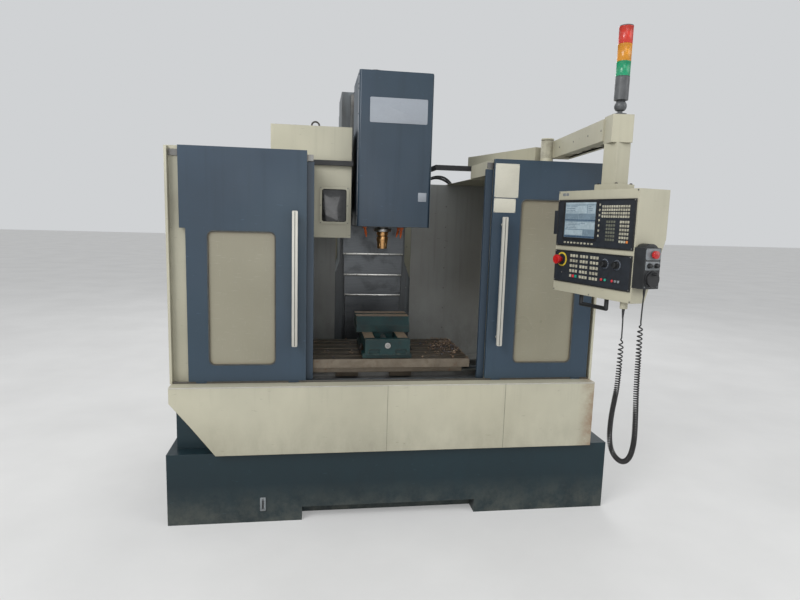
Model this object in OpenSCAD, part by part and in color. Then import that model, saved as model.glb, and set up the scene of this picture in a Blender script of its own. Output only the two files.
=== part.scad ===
// Vertical machining centre with a sliding-door enclosure, modelled in millimetres.
// The origin is on the floor, at the centre of the four anchor holes.
// X runs to the operator's right, Y to the rear and Z up.

/* [Travels] */
// Table travel to the left of where it stands
x_left = 350; // [250:10:350]
// Table travel to the right of where it stands
x_right = 500; // [350:10:500]
// Saddle travel from the front to the rear
y_travel = 500; // [440:10:520]
// Head travel down from where it stands
z_down = 420; // [360:10:430]
// Head travel up from where it stands
z_up = 130; // [80:10:150]

/* [Table] */
// Length of the table
table_l = 1000; // [900:10:1040]
// Width of the table
table_w = 500; // [460:10:520]
// Height of the table top above the floor
table_h = 825; // [815:1:850]
// Thickness of the table plate
table_t = 80; // [70:1:90]
// Where the table's middle stands, from the spindle
table_x = -75; // [-100:5:-50]
// Number of T-slots
slots = 5; // [3:2:5]
// Pitch of the T-slots
slot_pitch = 90; // [80:1:100]
// Width of a T-slot's neck
slot_w = 18; // [14:1:18]

/* [Spindle] */
// Spindle axis in front of the anchor centre
spindle_front = 390; // [380:1:400]
// Spindle axis to the way cover's face
throat = 515; // [500:1:530]
// Height of the head casting's underside
head_z = 1500; // [1480:5:1540]
// Diameter of the spindle shaft
shaft_d = 70; // [60:1:80]
// Running clearance of a shaft in its bearing, on the radius
run_clear = 0.05; // [0.02:0.01:0.09]
// Diameter of the tool holder's body
holder_d = 68; // [56:1:72]
// Diameter of the holder's bore for a cutter
collet_d = 20; // [10:1:25]

/* [Vise] */
// Width of the vise body
vise_w = 235; // [200:1:240]
// Length of the vise body
vise_len = 434; // [400:2:434]
// Opening between the jaw plates
jaw_open = 30; // [10:1:60]
// Height of the jaws over the vise ways
jaw_h = 85; // [60:1:86]

/* [Enclosure] */
// Width over the side panels
encl_w = 2180; // [2140:10:2260]
// Height of the roof
encl_h = 1862; // [1840:1:1900]
// Height of the lower roof behind the front section
rear_roof_h = 1790; // [1770:1:1800]
// Table edge to the front face of the doors
front_gap = 60; // [58:1:80]
// Width of the door opening between its jambs
opening_w = 860; // [800:10:880]
// Middle of the door opening, from the spindle
opening_x = 30; // [10:5:40]
// Sheet thickness of panels and covers
sheet = 4; // [3:0.5:5]

/* [Doors] */
// Width of a door
door_w = 566; // [540:2:590]
// Thickness of a door
door_t = 22; // [18:1:24]
// Door edge to jamb edge when open
jamb_w = 35; // [25:1:45]
// Width of a door window
pane_w = 322; // [280:2:340]
// Top of the left window
pane_top_left = 1472; // [1400:2:1600]
// Top of the right window
pane_top_right = 1668; // [1600:2:1700]
// Bottom of both windows
pane_bottom = 812; // [790:1:840]
// Length of a door's bar handle
handle_l = 660; // [560:10:700]
// Width of the bar handle
handle_w = 27; // [22:1:32]
// Finger gap behind the bar handle
handle_gap = 32; // [28:1:40]

/* [Base] */
// Height of the tank and plinth
tank_h = 368; // [340:1:368]
// Depth of the tank
tank_d = 410; // [380:5:410]
// Left end of the tank
tank_left = 1110; // [1080:5:1200]
// Right end of the tank
tank_right = 1190; // [1120:5:1240]
// Height of the toe recess
recess_h = 72; // [60:1:90]
// Depth of the toe recess
recess_d = 90; // [60:5:120]
// Length of the toe recess
recess_l = 910; // [800:10:960]
// Height of the front trough's top ledge
trough_h = 720; // [710:1:730]
// How much lower and further in the trough's left bevel ends
bevel_w = 214; // [150:2:240]
// Anchor holes from the middle, sideways
anchor_x = 450; // [440:1:470]
// Anchor holes from the middle, front to rear
anchor_y = 500; // [480:1:510]
// Diameter of an anchor hole
anchor_d = 22; // [18:1:26]

/* [Column] */
// Height of the column's top
column_h = 2370; // [2330:5:2420]
// Width of the column's upper part
column_w = 450; // [430:2:480]
// Width over the column's feet
foot_w = 800; // [760:5:800]
// Depth of the column at its foot
column_d = 450; // [420:5:460]

/* [Pendant] */
// Pivot of the swing arm, sideways
pivot_x = 850; // [840:1:860]
// Pivot of the swing arm, in front of the anchor centre
pivot_front = 730; // [725:1:735]
// Swivel of the pendant, sideways
swivel_x = 845; // [840:1:850]
// Swivel of the pendant, in front of the anchor centre
swivel_front = 1500; // [1490:1:1510]
// Rise of the swing arm's top over the roof
arm_rise = 128; // [124:1:140]
// Turn of the pendant towards the door opening
pendant_yaw = 74; // [60:1:80]
// Width of the pendant box
box_w = 464; // [464:1:480]
// Height of the pendant box
box_h = 443; // [436:1:450]
// Drop from the swing arm's underside to the pendant box
box_drop = 207; // [200:1:214]
// Depth of the pendant box at its top
box_d = 160; // [140:1:180]
// Diameter of the signal lamp's lenses
lens_d = 56; // [50:1:60]

/* [Magazine] */
// Width of the magazine cover
mag_w = 446; // [430:2:450]
// Height of the magazine cover
mag_h = 614; // [600:2:640]
// Depth of the magazine cover
mag_d = 530; // [520:5:540]
// Number of tool pots
pots = 12; // [8:1:12]
// Radius of the ring of pots
pot_ring_r = 185; // [175:1:190]

/* [Hidden] */
$fn = 48;
slate = "#3a4d62";
dark_base = "#21343f";
cream = "#c9c5b3";
cast = "#8f959a";
steel = "#b4b7ba";
black = "#1d1f22";
grey = "#7c8084";

// Air left between sheets that slide past each other
air = 0.5;
// Seat gap between pieces on different bodies
seat = 0.3;

// Front to rear places
spindle_y = -spindle_front;
cover_y = spindle_y + throat;
table_y = spindle_y - y_travel / 2;
door_y = table_y - table_w / 2 - front_gap;
door_back = door_y + door_t;
slide_gap = 14;
fixed_y = door_back + slide_gap;
fixed_t = 16;
fixed_back = fixed_y + fixed_t;
trough_y = door_y - 60;
tank_y = trough_y + 30;
rail_tip = 28;
column_y = cover_y + 65;
splash_y = cover_y - 4;

// Heights
table_bottom = table_h - table_t;
saddle_top = table_bottom - 45;
saddle_bottom = saddle_top - 100;
bed_top = saddle_bottom - 40;
pad_top = 60;
saddle_len = 340;
truck_x = 145;
truck_l = 120;
saddle_w = x_left + x_right + 2 * truck_x + truck_l + 20;
saddle_front = table_y - saddle_len / 2;
saddle_rear = table_y + saddle_len / 2;
rail_w = 30;
rail_h = 28;
y_rail_x = 190;
x_rail_y = 110;
z_rail_x = 150;
screw_r = 16;
y_screw_z = bed_top - 35;
x_screw_z = saddle_top - 20;
z_screw_y = column_y + 25;

// Vise places
vise_x = table_x + 60;
vise_y0 = table_y - table_w / 2;
way_z = table_h + 97;
jaw_z = way_z + jaw_h;
plate_t = 10;
fixed_jaw_d = 62;
moving_jaw_d = 105;
vise_screw_z = table_h + 70;
vise_screw_r = 15;
fixed_jaw_y = vise_y0 + vise_len - fixed_jaw_d;
moving_jaw_y = fixed_jaw_y - plate_t - jaw_open - moving_jaw_d;

// Telescopic way covers
skin = 2;
step = 6;
way_top = bed_top + 68;
way_half = 250;
front_len = y_travel / 3 + 15;
rear_len = y_travel / 2 + 20;
rear_nest = saddle_rear + y_travel;
z_len = (z_down + z_up) / 3 + 17;
z_nest = head_z - z_len - z_down - 3;
z_half = 205;

// Electrical cabinet behind the column
cab_y = column_y + column_d + 5;
cab_d = 300;
cab_half = foot_w / 2 + 20;
cab_bottom = 350;
cab_top = column_h - 320;
hinge_x = -cab_half - 11;
hinge_y = cab_y + cab_d + 6;
hinge_zs = [cab_bottom + 150, cab_top - 200];

// Door places
open_left = opening_x - opening_w / 2;
open_right = opening_x + opening_w / 2;
door_gap = 3;
door_bottom = trough_h + 12;
half_w = encl_w / 2;
panel_t = 20;
roof_front_d = 420;
pane_edge = 147;
left_edge = open_left - jamb_w;
right_edge = open_right + jamb_w;
handle_in = 55;
handle_mid = 1245;
pane_r = 30;

// Pendant places
pivot_y = -pivot_front;
swivel_y = -swivel_front;
arm_h = encl_h + arm_rise;
arm_bottom = arm_h - 90;
box_top = arm_bottom - box_drop;
box_bottom = box_top - box_h;
box_front = 95;
tube_w = 74;
pin_r = 20;
gland_x = 165;
stop_x = -178;
knob_xs = [85, 150];
knob_z = box_top - 299;
unit_top = box_top - 208;
unit_bottom = unit_top - 171;
wheel_z = unit_bottom + 38;
unit_t = 58;
panel_proud = 4;
beam_l = 740;

// Magazine places
mag_x = -639;
mag_bottom = 1433;
mag_y = cover_y - 65 - mag_d;
disc_x = mag_x + mag_w / 2;
disc_y = mag_y + mag_d / 2;
disc_z = mag_bottom + mag_h / 2;

// Route of the pendant's curly cord, from the hand unit down, round and up to the gland under the box.
// Each point is a share of the span between the two ends, and a drop below the hand unit.
cord_r = 12;
ROUTE = [[0, 0], [0, 24], [0.02, 74], [0.03, 134], [0.02, 204], [0, 274], [-0.02, 344], [-0.05, 414],
    [-0.09, 474], [-0.13, 534], [-0.15, 589], [-0.12, 634], [-0.02, 674], [0.17, 703], [0.42, 716],
    [0.68, 714], [0.92, 700], [1.1, 674], [1.19, 634], [1.2, 584], [1.16, 529], [1.08, 474], [1.01, 424],
    [0.98, 364], [0.97, 294], [0.97, 224], [0.98, 154], [1, 114], [1, unit_bottom - box_bottom + 30]];
cord_start = pendant_point(box_w / 2 + 29, -60);
cord_end = pendant_point(gland_x, -60);
CORD = [for (q = ROUTE) [cord_start[0] + q[0] * (cord_end[0] - cord_start[0]),
    cord_start[1] + q[0] * (cord_end[1] - cord_start[1]), unit_bottom - q[1]]];

// Plan place of a point in the pendant's frame
function pendant_point(x, y) = [swivel_x + x * cos(pendant_yaw) + y * sin(pendant_yaw),
    swivel_y - x * sin(pendant_yaw) + y * cos(pendant_yaw)];

// Box between two corners
module block(a, b) {
    translate(a) cube(b - a);
}

// Flat outline with round corners
module round_rect(w, h, r) {
    square([w - 2 * r, h], center = true);
    square([w, h - 2 * r], center = true);
    for (sx = [-1, 1], sz = [-1, 1])
        translate([sx * (w / 2 - r), sz * (h / 2 - r)]) circle(r = r);
}

// Round-cornered plate standing in XZ, from y = 0 backwards
module round_plate(w, h, r, t) {
    translate([0, t, 0]) rotate([90, 0, 0]) linear_extrude(t) round_rect(w, h, r);
}

// Extrudes a YZ outline along X between two places
module along_x(x0, x1) {
    translate([x0, 0, 0]) rotate([90, 0, 90]) linear_extrude(x1 - x0) children();
}

// Extrudes an XZ outline along Y between two places
module along_y(y0, y1) {
    translate([0, y1, 0]) rotate([90, 0, 0]) linear_extrude(y1 - y0) children();
}

// Round bar along X, Y or Z from a point
module bar_x(p, l, r) { translate(p) rotate([0, 90, 0]) cylinder(h = l, r = r); }
module bar_y(p, l, r) { translate(p) rotate([-90, 0, 0]) cylinder(h = l, r = r); }
module bar_z(p, l, r) { translate(p) cylinder(h = l, r = r); }

// Root: bed, column and rails
module bed_casting() {
    color(cast) difference() {
        union() {
            block([-400, tank_y + tank_d + 10, pad_top], [400, column_y + column_d, 400]);
            block([-450, tank_y + tank_d + 10, 400], [450, column_y + column_d, bed_top]);
            block([-way_half - 10, saddle_front - front_len - 4, 400], [way_half + 10, column_y, bed_top]);
        }
        // Screw channel between the ways
        block([-65, saddle_front - front_len + 80, y_screw_z - 50], [65, column_y + 320, bed_top + 1]);
        // Front bearing of the Y screw
        bar_y([0, saddle_front - front_len + 58, y_screw_z], 30, screw_r + run_clear);
        // Cast pockets that lighten the sides
        for (sx = [-1, 1], py = [-400, -60, 280])
            translate([sx * 425, py, 230]) rotate([90, 0, 90])
                translate([0, 0, -160]) linear_extrude(320) round_rect(260, 180, 40);
        // Cast pocket under the bed
        block([-230, -520, pad_top - 1], [230, column_y + 400, 430]);
    }
}

module levelling_pads() {
    color(steel) for (sx = [-1, 1], sy = [-1, 1]) translate([sx * anchor_x, sy * anchor_y, 0]) {
        difference() {
            translate([-sx * 55 - 75, -55, 0]) cube([150, 110, 20]);
            translate([0, 0, -1]) cylinder(h = 22, d = anchor_d);
        }
        translate([-sx * 80, 0, 20]) cylinder(h = pad_top - 20, r = 24);
        translate([-sx * 80, 0, 20]) cylinder(h = 14, r = 34, $fn = 6);
    }
}

module guide_rails() {
    color(steel) {
        for (sx = [-1, 1]) {
            // Y ways on the bed
            block([sx * y_rail_x - rail_w / 2, saddle_front - 10, bed_top],
                [sx * y_rail_x + rail_w / 2, rear_nest + 10, bed_top + rail_h]);
            // Z ways on the column
            block([sx * z_rail_x - rail_w / 2, column_y - rail_tip, 900],
                [sx * z_rail_x + rail_w / 2, column_y, column_h - 20]);
        }
        // Lower door rail on the trough's ledge
        block([-half_w + 12, door_y + door_t / 2 - 3, trough_h],
            [half_w - 12, door_y + door_t / 2 + 3, trough_h + 10]);
        // Upper door rails on the fixed panels
        block([-half_w + 12, fixed_y - 6, 1815], [open_left - 4, fixed_y, 1845]);
        block([open_right + 4, fixed_y - 6, 1815], [half_w - 12, fixed_y, 1845]);
    }
}

// Outline of the column's front, with feet spread over the screw motor
module column_outline(inset) {
    w = column_w / 2 - inset;
    f = foot_w / 2 - inset;
    polygon([[-f, bed_top], [-f, bed_top + 220 - inset], [-w, 1250 - inset], [-w, column_h - inset],
        [w, column_h - inset], [w, 1250 - inset], [f, bed_top + 220 - inset], [f, bed_top]]);
}

module column_casting() {
    color(cast) difference() {
        along_y(column_y, column_y + column_d) column_outline(0);
        // Arch over the rear way cover and the Y motor
        block([-way_half - 12, column_y - 1, bed_top - 1], [way_half + 12, column_y + 340, way_top + 12]);
        block([-65, column_y - 1, bed_top - 1], [65, column_y + 340, way_top + 60]);
        // Screw pocket between the Z ways
        block([-80, column_y - 1, 960], [80, column_y + 80, column_h + 1]);
        // Hollow behind the front wall, open to the rear
        for (pz = [1000, 1400, 1800, 2130])
            translate([0, column_y + 115, pz]) round_plate(340, 270, 50, column_d);
        translate([0, column_y + 115, bed_top + 210]) round_plate(620, 120, 40, column_d);
        // Rear of the upper column is set in
        block([-column_w, column_y + column_d - 60, 2280], [column_w, column_y + column_d + 1, column_h + 1]);
    }
    // Lower bearing of the Z screw
    color(cast) difference() {
        block([-80, column_y + 2, 960], [80, column_y + 80, 1000]);
        translate([0, z_screw_y, 950]) cylinder(h = 60, r = screw_r + run_clear);
    }
}

module feed_motor(len) {
    translate([-55, -55, 0]) cube([110, 110, 12]);
    translate([-50, -50, 12]) cube([100, 100, len - 52]);
    translate([0, 0, len - 40]) cylinder(h = 40, r = 46);
    translate([-20, 50, 24]) cube([40, 22, 40]);
}

module feed_motors() {
    color(black) {
        // Y motor in the column's arch, with its bearing plate
        difference() {
            block([-64, column_y + 160, y_screw_z - 50], [64, column_y + 190, bed_top + 32]);
            bar_y([0, column_y + 150, y_screw_z], 50, screw_r + run_clear);
        }
        translate([0, column_y + 190, y_screw_z + 7]) rotate([-90, 0, 0]) rotate(180) feed_motor(120);
        // Z motor on the column's top, on a bearing plate
        difference() {
            block([-100, column_y - 34, column_h], [100, column_y + 200, column_h + 20]);
            bar_z([0, z_screw_y, column_h - 5], 22, screw_r + run_clear);
        }
        translate([0, z_screw_y, column_h + 20]) feed_motor(130);
    }
}

module y_ballscrew() {
    color(steel) {
        bar_y([0, saddle_front - front_len + 62, y_screw_z], column_y + 188 - saddle_front + front_len - 62,
            screw_r);
        bar_y([0, column_y + 140, y_screw_z], 18, 26);
    }
}

module z_ballscrew() {
    color(steel) {
        bar_z([0, z_screw_y, 962], column_h + 14 - 962, screw_r);
        bar_z([0, z_screw_y, column_h - 22], 20, 26);
    }
}

// Base, trough and enclosure
module tank_shape(w, top) {
    difference() {
        block([-tank_left + w, tank_y + w, w], [tank_right - w, tank_y + tank_d - w, top]);
        block([opening_x - 25 - recess_l / 2 - w, tank_y - 1, -1],
            [opening_x - 25 + recess_l / 2 + w, tank_y + recess_d + w, recess_h + w]);
    }
}

module coolant_tank() {
    color(dark_base) difference() {
        tank_shape(0, tank_h);
        tank_shape(sheet, tank_h + 1);
    }
    // Cover plates that carry the trough, with the drain left open between them
    color(dark_base) {
        block([-tank_left, tank_y, tank_h], [-300, tank_y + tank_d, tank_h + 2]);
        block([300, tank_y, tank_h], [tank_right, tank_y + tank_d, tank_h + 2]);
        block([-300, tank_y, tank_h], [300, tank_y + 60, tank_h + 2]);
    }
}

// Front face of the trough in XZ, with the bevelled left end
module trough_face(grow) {
    l = half_w - 6 - grow;
    polygon([[-l, trough_h], [l, trough_h], [l, tank_h + 2], [-l + bevel_w, tank_h + 2],
        [-l + bevel_w * 0.46, 520], [-l, 640]]);
}

module front_trough() {
    color(cream) difference() {
        along_y(trough_y, fixed_back - 2) trough_face(0);
        difference() {
            along_y(trough_y + sheet, fixed_back) trough_face(sheet);
            block([-half_w, trough_y, trough_h - sheet], [half_w, fixed_back, trough_h + 1]);
            block([-half_w, trough_y, tank_h], [half_w, fixed_back, tank_h + 2 + sheet]);
        }
        // Ledge cut back between the jambs for the chips to fall through
        block([open_left + 6, door_back + 6, trough_h - sheet - 1],
            [open_right - 6, fixed_back, trough_h + 1]);
        // Room for the bed's nose and the front way cover
        block([-way_half - 14, saddle_front - front_len - 6, tank_h],
            [way_half + 14, fixed_back, bed_top + 80]);
    }
}

module side_skirts() {
    color(dark_base) for (sx = [-1, 1]) {
        x = sx * (half_w - 16);
        block([min(x, x - sx * sheet), fixed_back - 1.7, tank_h + 2.3],
            [max(x, x - sx * sheet), splash_y + 130, trough_h]);
        // Rear leg
        block([min(x, x - sx * 60), splash_y + 70, 0], [max(x, x - sx * 60), splash_y + 130, tank_h + 2.3]);
        // Return at the front, set back behind the trough's end
        block([min(x, x - sx * 224), fixed_back - 1.7, tank_h + 2.3],
            [max(x, x - sx * 224), fixed_back - 1.7 + sheet, trough_h - 120]);
    }
}

module side_outline(w, z0) {
    step_y = fixed_y + roof_front_d;
    top = rear_roof_h - sheet - w;
    polygon([[fixed_back + w, z0], [fixed_back + w, encl_h - sheet - w],
        [step_y - sheet - w, encl_h - sheet - w], [step_y - sheet - w, top],
        [splash_y + 130 - w, top], [splash_y + 130 - w, z0]]);
}

// Double-skin side panels, open below
module side_panels() {
    color(cream) for (sx = [-1, 1]) difference() {
        x = sx > 0 ? half_w - panel_t : -half_w;
        along_x(x, x + panel_t) side_outline(0, trough_h);
        along_x(x + 3, x + panel_t - 3) side_outline(3, trough_h - 1);
    }
}

// Fixed double-skin panel behind a door, open below
module fixed_panel(x0, x1) {
    difference() {
        block([x0, fixed_y, trough_h], [x1, fixed_back, encl_h - sheet]);
        block([x0 + 3, fixed_y + 3, trough_h - 1], [x1 - 3, fixed_back - 3, encl_h - sheet - 3]);
    }
}

module front_panels() {
    color(cream) {
        fixed_panel(-half_w, left_edge - 1);
        fixed_panel(right_edge + 1, half_w);
        // Front returns outside the doors
        block([-half_w, door_y + 2, trough_h], [-half_w + 12, fixed_y, encl_h - sheet]);
        block([half_w - 12, door_y + 2, trough_h], [half_w, fixed_y, encl_h - sheet]);
    }
}

// One roof section, from its inner edge to the side of the enclosure
module roof_section(inner, outer, rear_inner) {
    s = sign(outer);
    step_y = fixed_y + roof_front_d;
    block([min(inner, outer), fixed_y, encl_h - sheet], [max(inner, outer), step_y, encl_h]);
    block([min(inner, inner + s * sheet), fixed_back + seat, rear_roof_h],
        [max(inner, inner + s * sheet), step_y, encl_h - sheet]);
    block([min(inner, outer - s * panel_t), step_y - sheet, rear_roof_h - sheet],
        [max(inner, outer - s * panel_t), step_y, encl_h - sheet]);
    block([min(rear_inner, outer), step_y, rear_roof_h - sheet],
        [max(rear_inner, outer), splash_y + 130, rear_roof_h]);
}

module roof_panels() {
    color(cream) {
        roof_section(left_edge, -half_w, mag_x - 8);
        roof_section(right_edge, half_w, right_edge);
    }
}

module inner_frame() {
    step_y = fixed_y + roof_front_d;
    color(slate) {
        // Jambs at both sides of the opening
        block([left_edge - 1, fixed_y - 4, trough_h], [open_left, fixed_back, encl_h - 50]);
        block([open_right, fixed_y - 4, trough_h], [right_edge + 1, fixed_back, encl_h - 50]);
        // Top rails beside the head
        block([left_edge - 65, step_y, encl_h - 27], [-185, mag_y, encl_h]);
        block([285, step_y, encl_h - 27], [right_edge + 65, step_y + 40, encl_h]);
        block([285, step_y + 40, encl_h - 27], [300, column_y + 30, encl_h]);
        block([column_w / 2, column_y + 30, encl_h - 27], [300, column_y + 80, encl_h]);
    }
}

module splash_guards() {
    color(grey) for (sx = [-1, 1]) {
        // Rear splash panel with its overlap seam
        x0 = sx * (way_half + 6);
        xm = sx * 505;
        x1 = sx * (half_w - panel_t - 0.3);
        top = rear_roof_h - sheet;
        // The left sheet ends below the magazine
        block([min(x0, xm), splash_y, bed_top], [max(x0, xm), splash_y + 3, sx < 0 ? mag_bottom - 8 : top]);
        block([min(xm - sx * 20, x1), splash_y + 3, bed_top], [max(xm - sx * 20, x1), splash_y + 6, top]);
        // Sloping chip chute from the side panel to the bed
        along_y(fixed_back + 4, splash_y) polygon([[x1, bed_top + 108], [x1, bed_top + 112],
            [sx * 490, bed_top + 6], [sx * 450, bed_top], [sx * 450, bed_top - 4], [sx * 490, bed_top + 2]]);
    }
}

module magazine_cover() {
    c = 45;
    color(cream) difference() {
        block([mag_x, mag_y, mag_bottom], [mag_x + mag_w, mag_y + mag_d, mag_bottom + mag_h]);
        block([mag_x + sheet, mag_y + sheet, mag_bottom + sheet],
            [mag_x + mag_w - sheet, mag_y + mag_d + 1, mag_bottom + mag_h - sheet]);
        // Mouth towards the spindle, at the lower right
        block([mag_x + mag_w - 150, mag_y + 120, mag_bottom - 1],
            [mag_x + mag_w + 1, mag_y + mag_d - 120, mag_bottom + 150]);
        // Window in the front wall
        translate([mag_x + mag_w - 95, mag_y - 1, mag_bottom + 181]) round_plate(138, 182, 12, sheet + 2);
    }
    // Frame round the window
    color(cream) difference() {
        translate([mag_x + mag_w - 95, mag_y - 6, mag_bottom + 181]) round_plate(164, 208, 14, 6);
        translate([mag_x + mag_w - 95, mag_y - 7, mag_bottom + 181]) round_plate(138, 182, 12, 8);
    }
    // Lifting eye on the top
    color(steel) translate([disc_x + 20, disc_y - 60, mag_bottom + mag_h]) {
        cylinder(h = 8, r = 18);
        translate([0, 0, 30]) rotate([90, 0, 0]) rotate_extrude() translate([22, 0]) circle(r = 5);
    }
}

module magazine_carrier() {
    hub = disc_x + 95;
    color(cast) {
        // Arm from the column's side to the hub
        block([mag_x + mag_w - 60, disc_y - 60, disc_z - 60], [-column_w / 2, column_y + 180, disc_z + 60]);
        bar_x([hub, disc_y, disc_z], mag_x + mag_w - 60 - hub, 50);
        bar_x([disc_x - 30, disc_y, disc_z], hub - disc_x + 30, 25);
        // Feet that hold the cover
        block([mag_x + mag_w - 60, column_y + 40, disc_z - 200],
            [-column_w / 2, column_y + 60, disc_z + 200]);
        for (dz = [-180, 180]) {
            block([mag_x + mag_w - 60, mag_y + mag_d, disc_z + dz - 20],
                [-column_w / 2, column_y + 60, disc_z + dz + 20]);
            block([mag_x, mag_y + mag_d, disc_z + dz - 20],
                [mag_x + mag_w, mag_y + mag_d + 8, disc_z + dz + 20]);
        }
    }
}

module magazine_disc() {
    color(steel) translate([disc_x, disc_y, disc_z]) rotate([0, 90, 0]) difference() {
        union() {
            translate([0, 0, -20]) cylinder(h = 26, r = pot_ring_r - 5);
            translate([0, 0, -30]) cylinder(h = 60, r = 45);
            for (i = [0 : pots - 1]) rotate(i * 360 / pots)
                translate([pot_ring_r, 0, -35]) cylinder(h = 80, r = 36);
        }
        translate([0, 0, -31]) cylinder(h = 62, r = 25 + run_clear);
        for (i = [0 : pots - 1]) rotate(i * 360 / pots) translate([pot_ring_r, 0, -10]) cylinder(h = 60, r = 24);
        for (i = [0 : 5]) rotate(i * 60 + 30) translate([100, 0, -40]) cylinder(h = 80, r = 28);
    }
}

module electrical_cabinet() {
    x0 = -cab_half + sheet + seat;
    color(cream) {
        // Left wall with the mains gland's hole, and right wall
        difference() {
            block([-cab_half, cab_y, cab_bottom], [-cab_half + sheet, cab_y + cab_d, cab_top]);
            bar_x([-cab_half - 1, cab_y + cab_d / 2, cab_bottom + 100], sheet + 2, 16);
        }
        block([cab_half - sheet, cab_y, cab_bottom], [cab_half, cab_y + cab_d, cab_top]);
        // Top, bottom and back, each set in with a seam
        block([x0, cab_y, cab_top - sheet], [-x0, cab_y + cab_d, cab_top]);
        block([x0, cab_y, cab_bottom], [-x0, cab_y + cab_d, cab_bottom + sheet]);
        block([x0, cab_y, cab_bottom + sheet + seat], [-x0, cab_y + sheet, cab_top - sheet - seat]);
    }
    // Mounting plate and brackets to the column
    color(steel) {
        block([x0 + 35, cab_y + sheet + seat, cab_bottom + 80],
            [-x0 - 35, cab_y + sheet + seat + 3, cab_top - 70]);
        for (sx = [-1, 1], pz = [cab_bottom + 270, cab_bottom + 1150])
            block([sx * 195 - 25, cab_y - 5, pz], [sx * 195 + 25, cab_y, pz + 80]);
    }
    // Hinge barrels and pins at the left edge
    color(steel) for (pz = hinge_zs) {
        bar_z([hinge_x, hinge_y, pz], 75, 9);
        bar_z([hinge_x, hinge_y, pz + 75], 42, 6);
        block([hinge_x - 7, cab_y + cab_d - 30, pz], [-cab_half - seat, hinge_y - 5, pz + 75]);
    }
}

module cabinet_door() {
    y0 = cab_y + cab_d + 1;
    color(cream) {
        difference() {
            block([-cab_half, y0, cab_bottom + 2], [cab_half, y0 + 24, cab_top - 2]);
            block([-cab_half + sheet, y0 - 1, cab_bottom + 6], [cab_half - sheet, y0 + 20, cab_top - 6]);
        }
        for (pz = hinge_zs) difference() {
            union() {
                bar_z([hinge_x, hinge_y, pz + 75 + seat], 40, 9);
                block([hinge_x, hinge_y - 4, pz + 75 + seat], [-cab_half + 2, hinge_y + 5, pz + 115 + seat]);
            }
            bar_z([hinge_x, hinge_y, pz + 74], 43, 6 + run_clear);
        }
    }
    // Turn latch on the free side
    color(black) translate([cab_half - 50, y0 + 24, (cab_bottom + cab_top) / 2]) {
        round_plate(34, 120, 15, 12);
        translate([-7, 12, -45]) cube([14, 16, 100]);
    }
}

// Way covers: a bridge-shaped sheet, nested by its index
module y_cover(y0, len, k, foot = seat) {
    h = way_half - k * step;
    t = way_top - k * step;
    z = bed_top + foot;
    along_y(y0, y0 + len) difference() {
        polygon([[-h, z], [-h, t - 8], [-h + 30, t], [h - 30, t], [h, t - 8], [h, z]]);
        polygon([[-h + skin, z - 1], [-h + skin, t - 8 - skin], [-h + 30, t - skin], [h - 30, t - skin],
            [h - skin, t - 8 - skin], [h - skin, z - 1]]);
    }
}

module z_cover(z0, len, k) {
    h = z_half - k * step;
    y = cover_y + k * step;
    translate([0, 0, z0]) linear_extrude(len) difference() {
        polygon([[-h, column_y - seat], [-h, y], [h, y], [h, column_y - seat]]);
        polygon([[-h + skin, column_y + 1], [-h + skin, y + skin],
            [h - skin, y + skin], [h - skin, column_y + 1]]);
    }
}

module cover_ends() {
    color(grey) {
        y_cover(saddle_front - front_len, front_len, 3, 0);
        y_cover(rear_nest, rear_len, 2, 0);
        // Fixed Z section, carried down to the rear way cover
        z_cover(way_top + 12, z_nest + z_len - way_top - 12, 3);
        for (sx = [-1, 1])
            block([sx * (z_half - 18) - (sx > 0 ? 0 : 16), column_y - 5, way_top + 14],
                [sx * (z_half - 18) + (sx > 0 ? 16 : 0), column_y, z_nest - 2]);
    }
}

module saddle_covers() {
    color(grey) {
        y_cover(saddle_front - front_len, front_len, 0);
        y_cover(saddle_rear, rear_len, 0);
    }
}

module y_front_cover_2() { color(grey) y_cover(saddle_front - front_len, front_len, 1); }
module y_front_cover_3() { color(grey) y_cover(saddle_front - front_len, front_len, 2); }
module y_rear_cover_2() { color(grey) y_cover(rear_nest - y_travel / 2, rear_len, 1); }
module head_way_cover() { color(grey) z_cover(head_z - z_len, z_len, 0); }
module z_cover_2() { color(grey) z_cover(z_nest + z_down * 2 / 3, z_len, 1); }
module z_cover_3() { color(grey) z_cover(z_nest + z_down / 3, z_len, 2); }

// Saddle and table
module rail_blocks_y() {
    for (sx = [-1, 1]) difference() {
        block([sx * y_rail_x - 38, saddle_front + 2, bed_top + 6],
            [sx * y_rail_x + 38, saddle_rear - 2, saddle_bottom]);
        block([sx * y_rail_x - rail_w / 2 - air, saddle_front, bed_top], [sx * y_rail_x + rail_w / 2 + air,
            saddle_rear, bed_top + rail_h + air]);
    }
}

module saddle_casting() {
    color(cast) {
        difference() {
            block([-saddle_w / 2, saddle_front, saddle_bottom], [saddle_w / 2, saddle_rear, saddle_top]);
            // Channel for the X screw
            block([-saddle_w / 2 + 40, table_y - 60, saddle_bottom + 28],
                [saddle_w / 2 - 40, table_y + 60, saddle_top + 1]);
            bar_x([-saddle_w / 2 - 1, table_y, x_screw_z], saddle_w + 2, screw_r + run_clear);
            // Tapered ends
            for (sx = [-1, 1]) along_y(saddle_front - 1, saddle_rear + 1)
                polygon([[sx * (saddle_w / 2 + 1), saddle_bottom - 1], [sx * (saddle_w / 2 - 150), saddle_bottom - 1],
                    [sx * (saddle_w / 2 + 1), saddle_bottom + 34]]);
        }
        rail_blocks_y();
        // Nut housing on the Y screw
        difference() {
            block([-45, table_y - 60, y_screw_z - 37], [45, table_y + 60, saddle_bottom]);
            bar_y([0, table_y - 61, y_screw_z], 122, screw_r + air);
        }
    }
}

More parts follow.
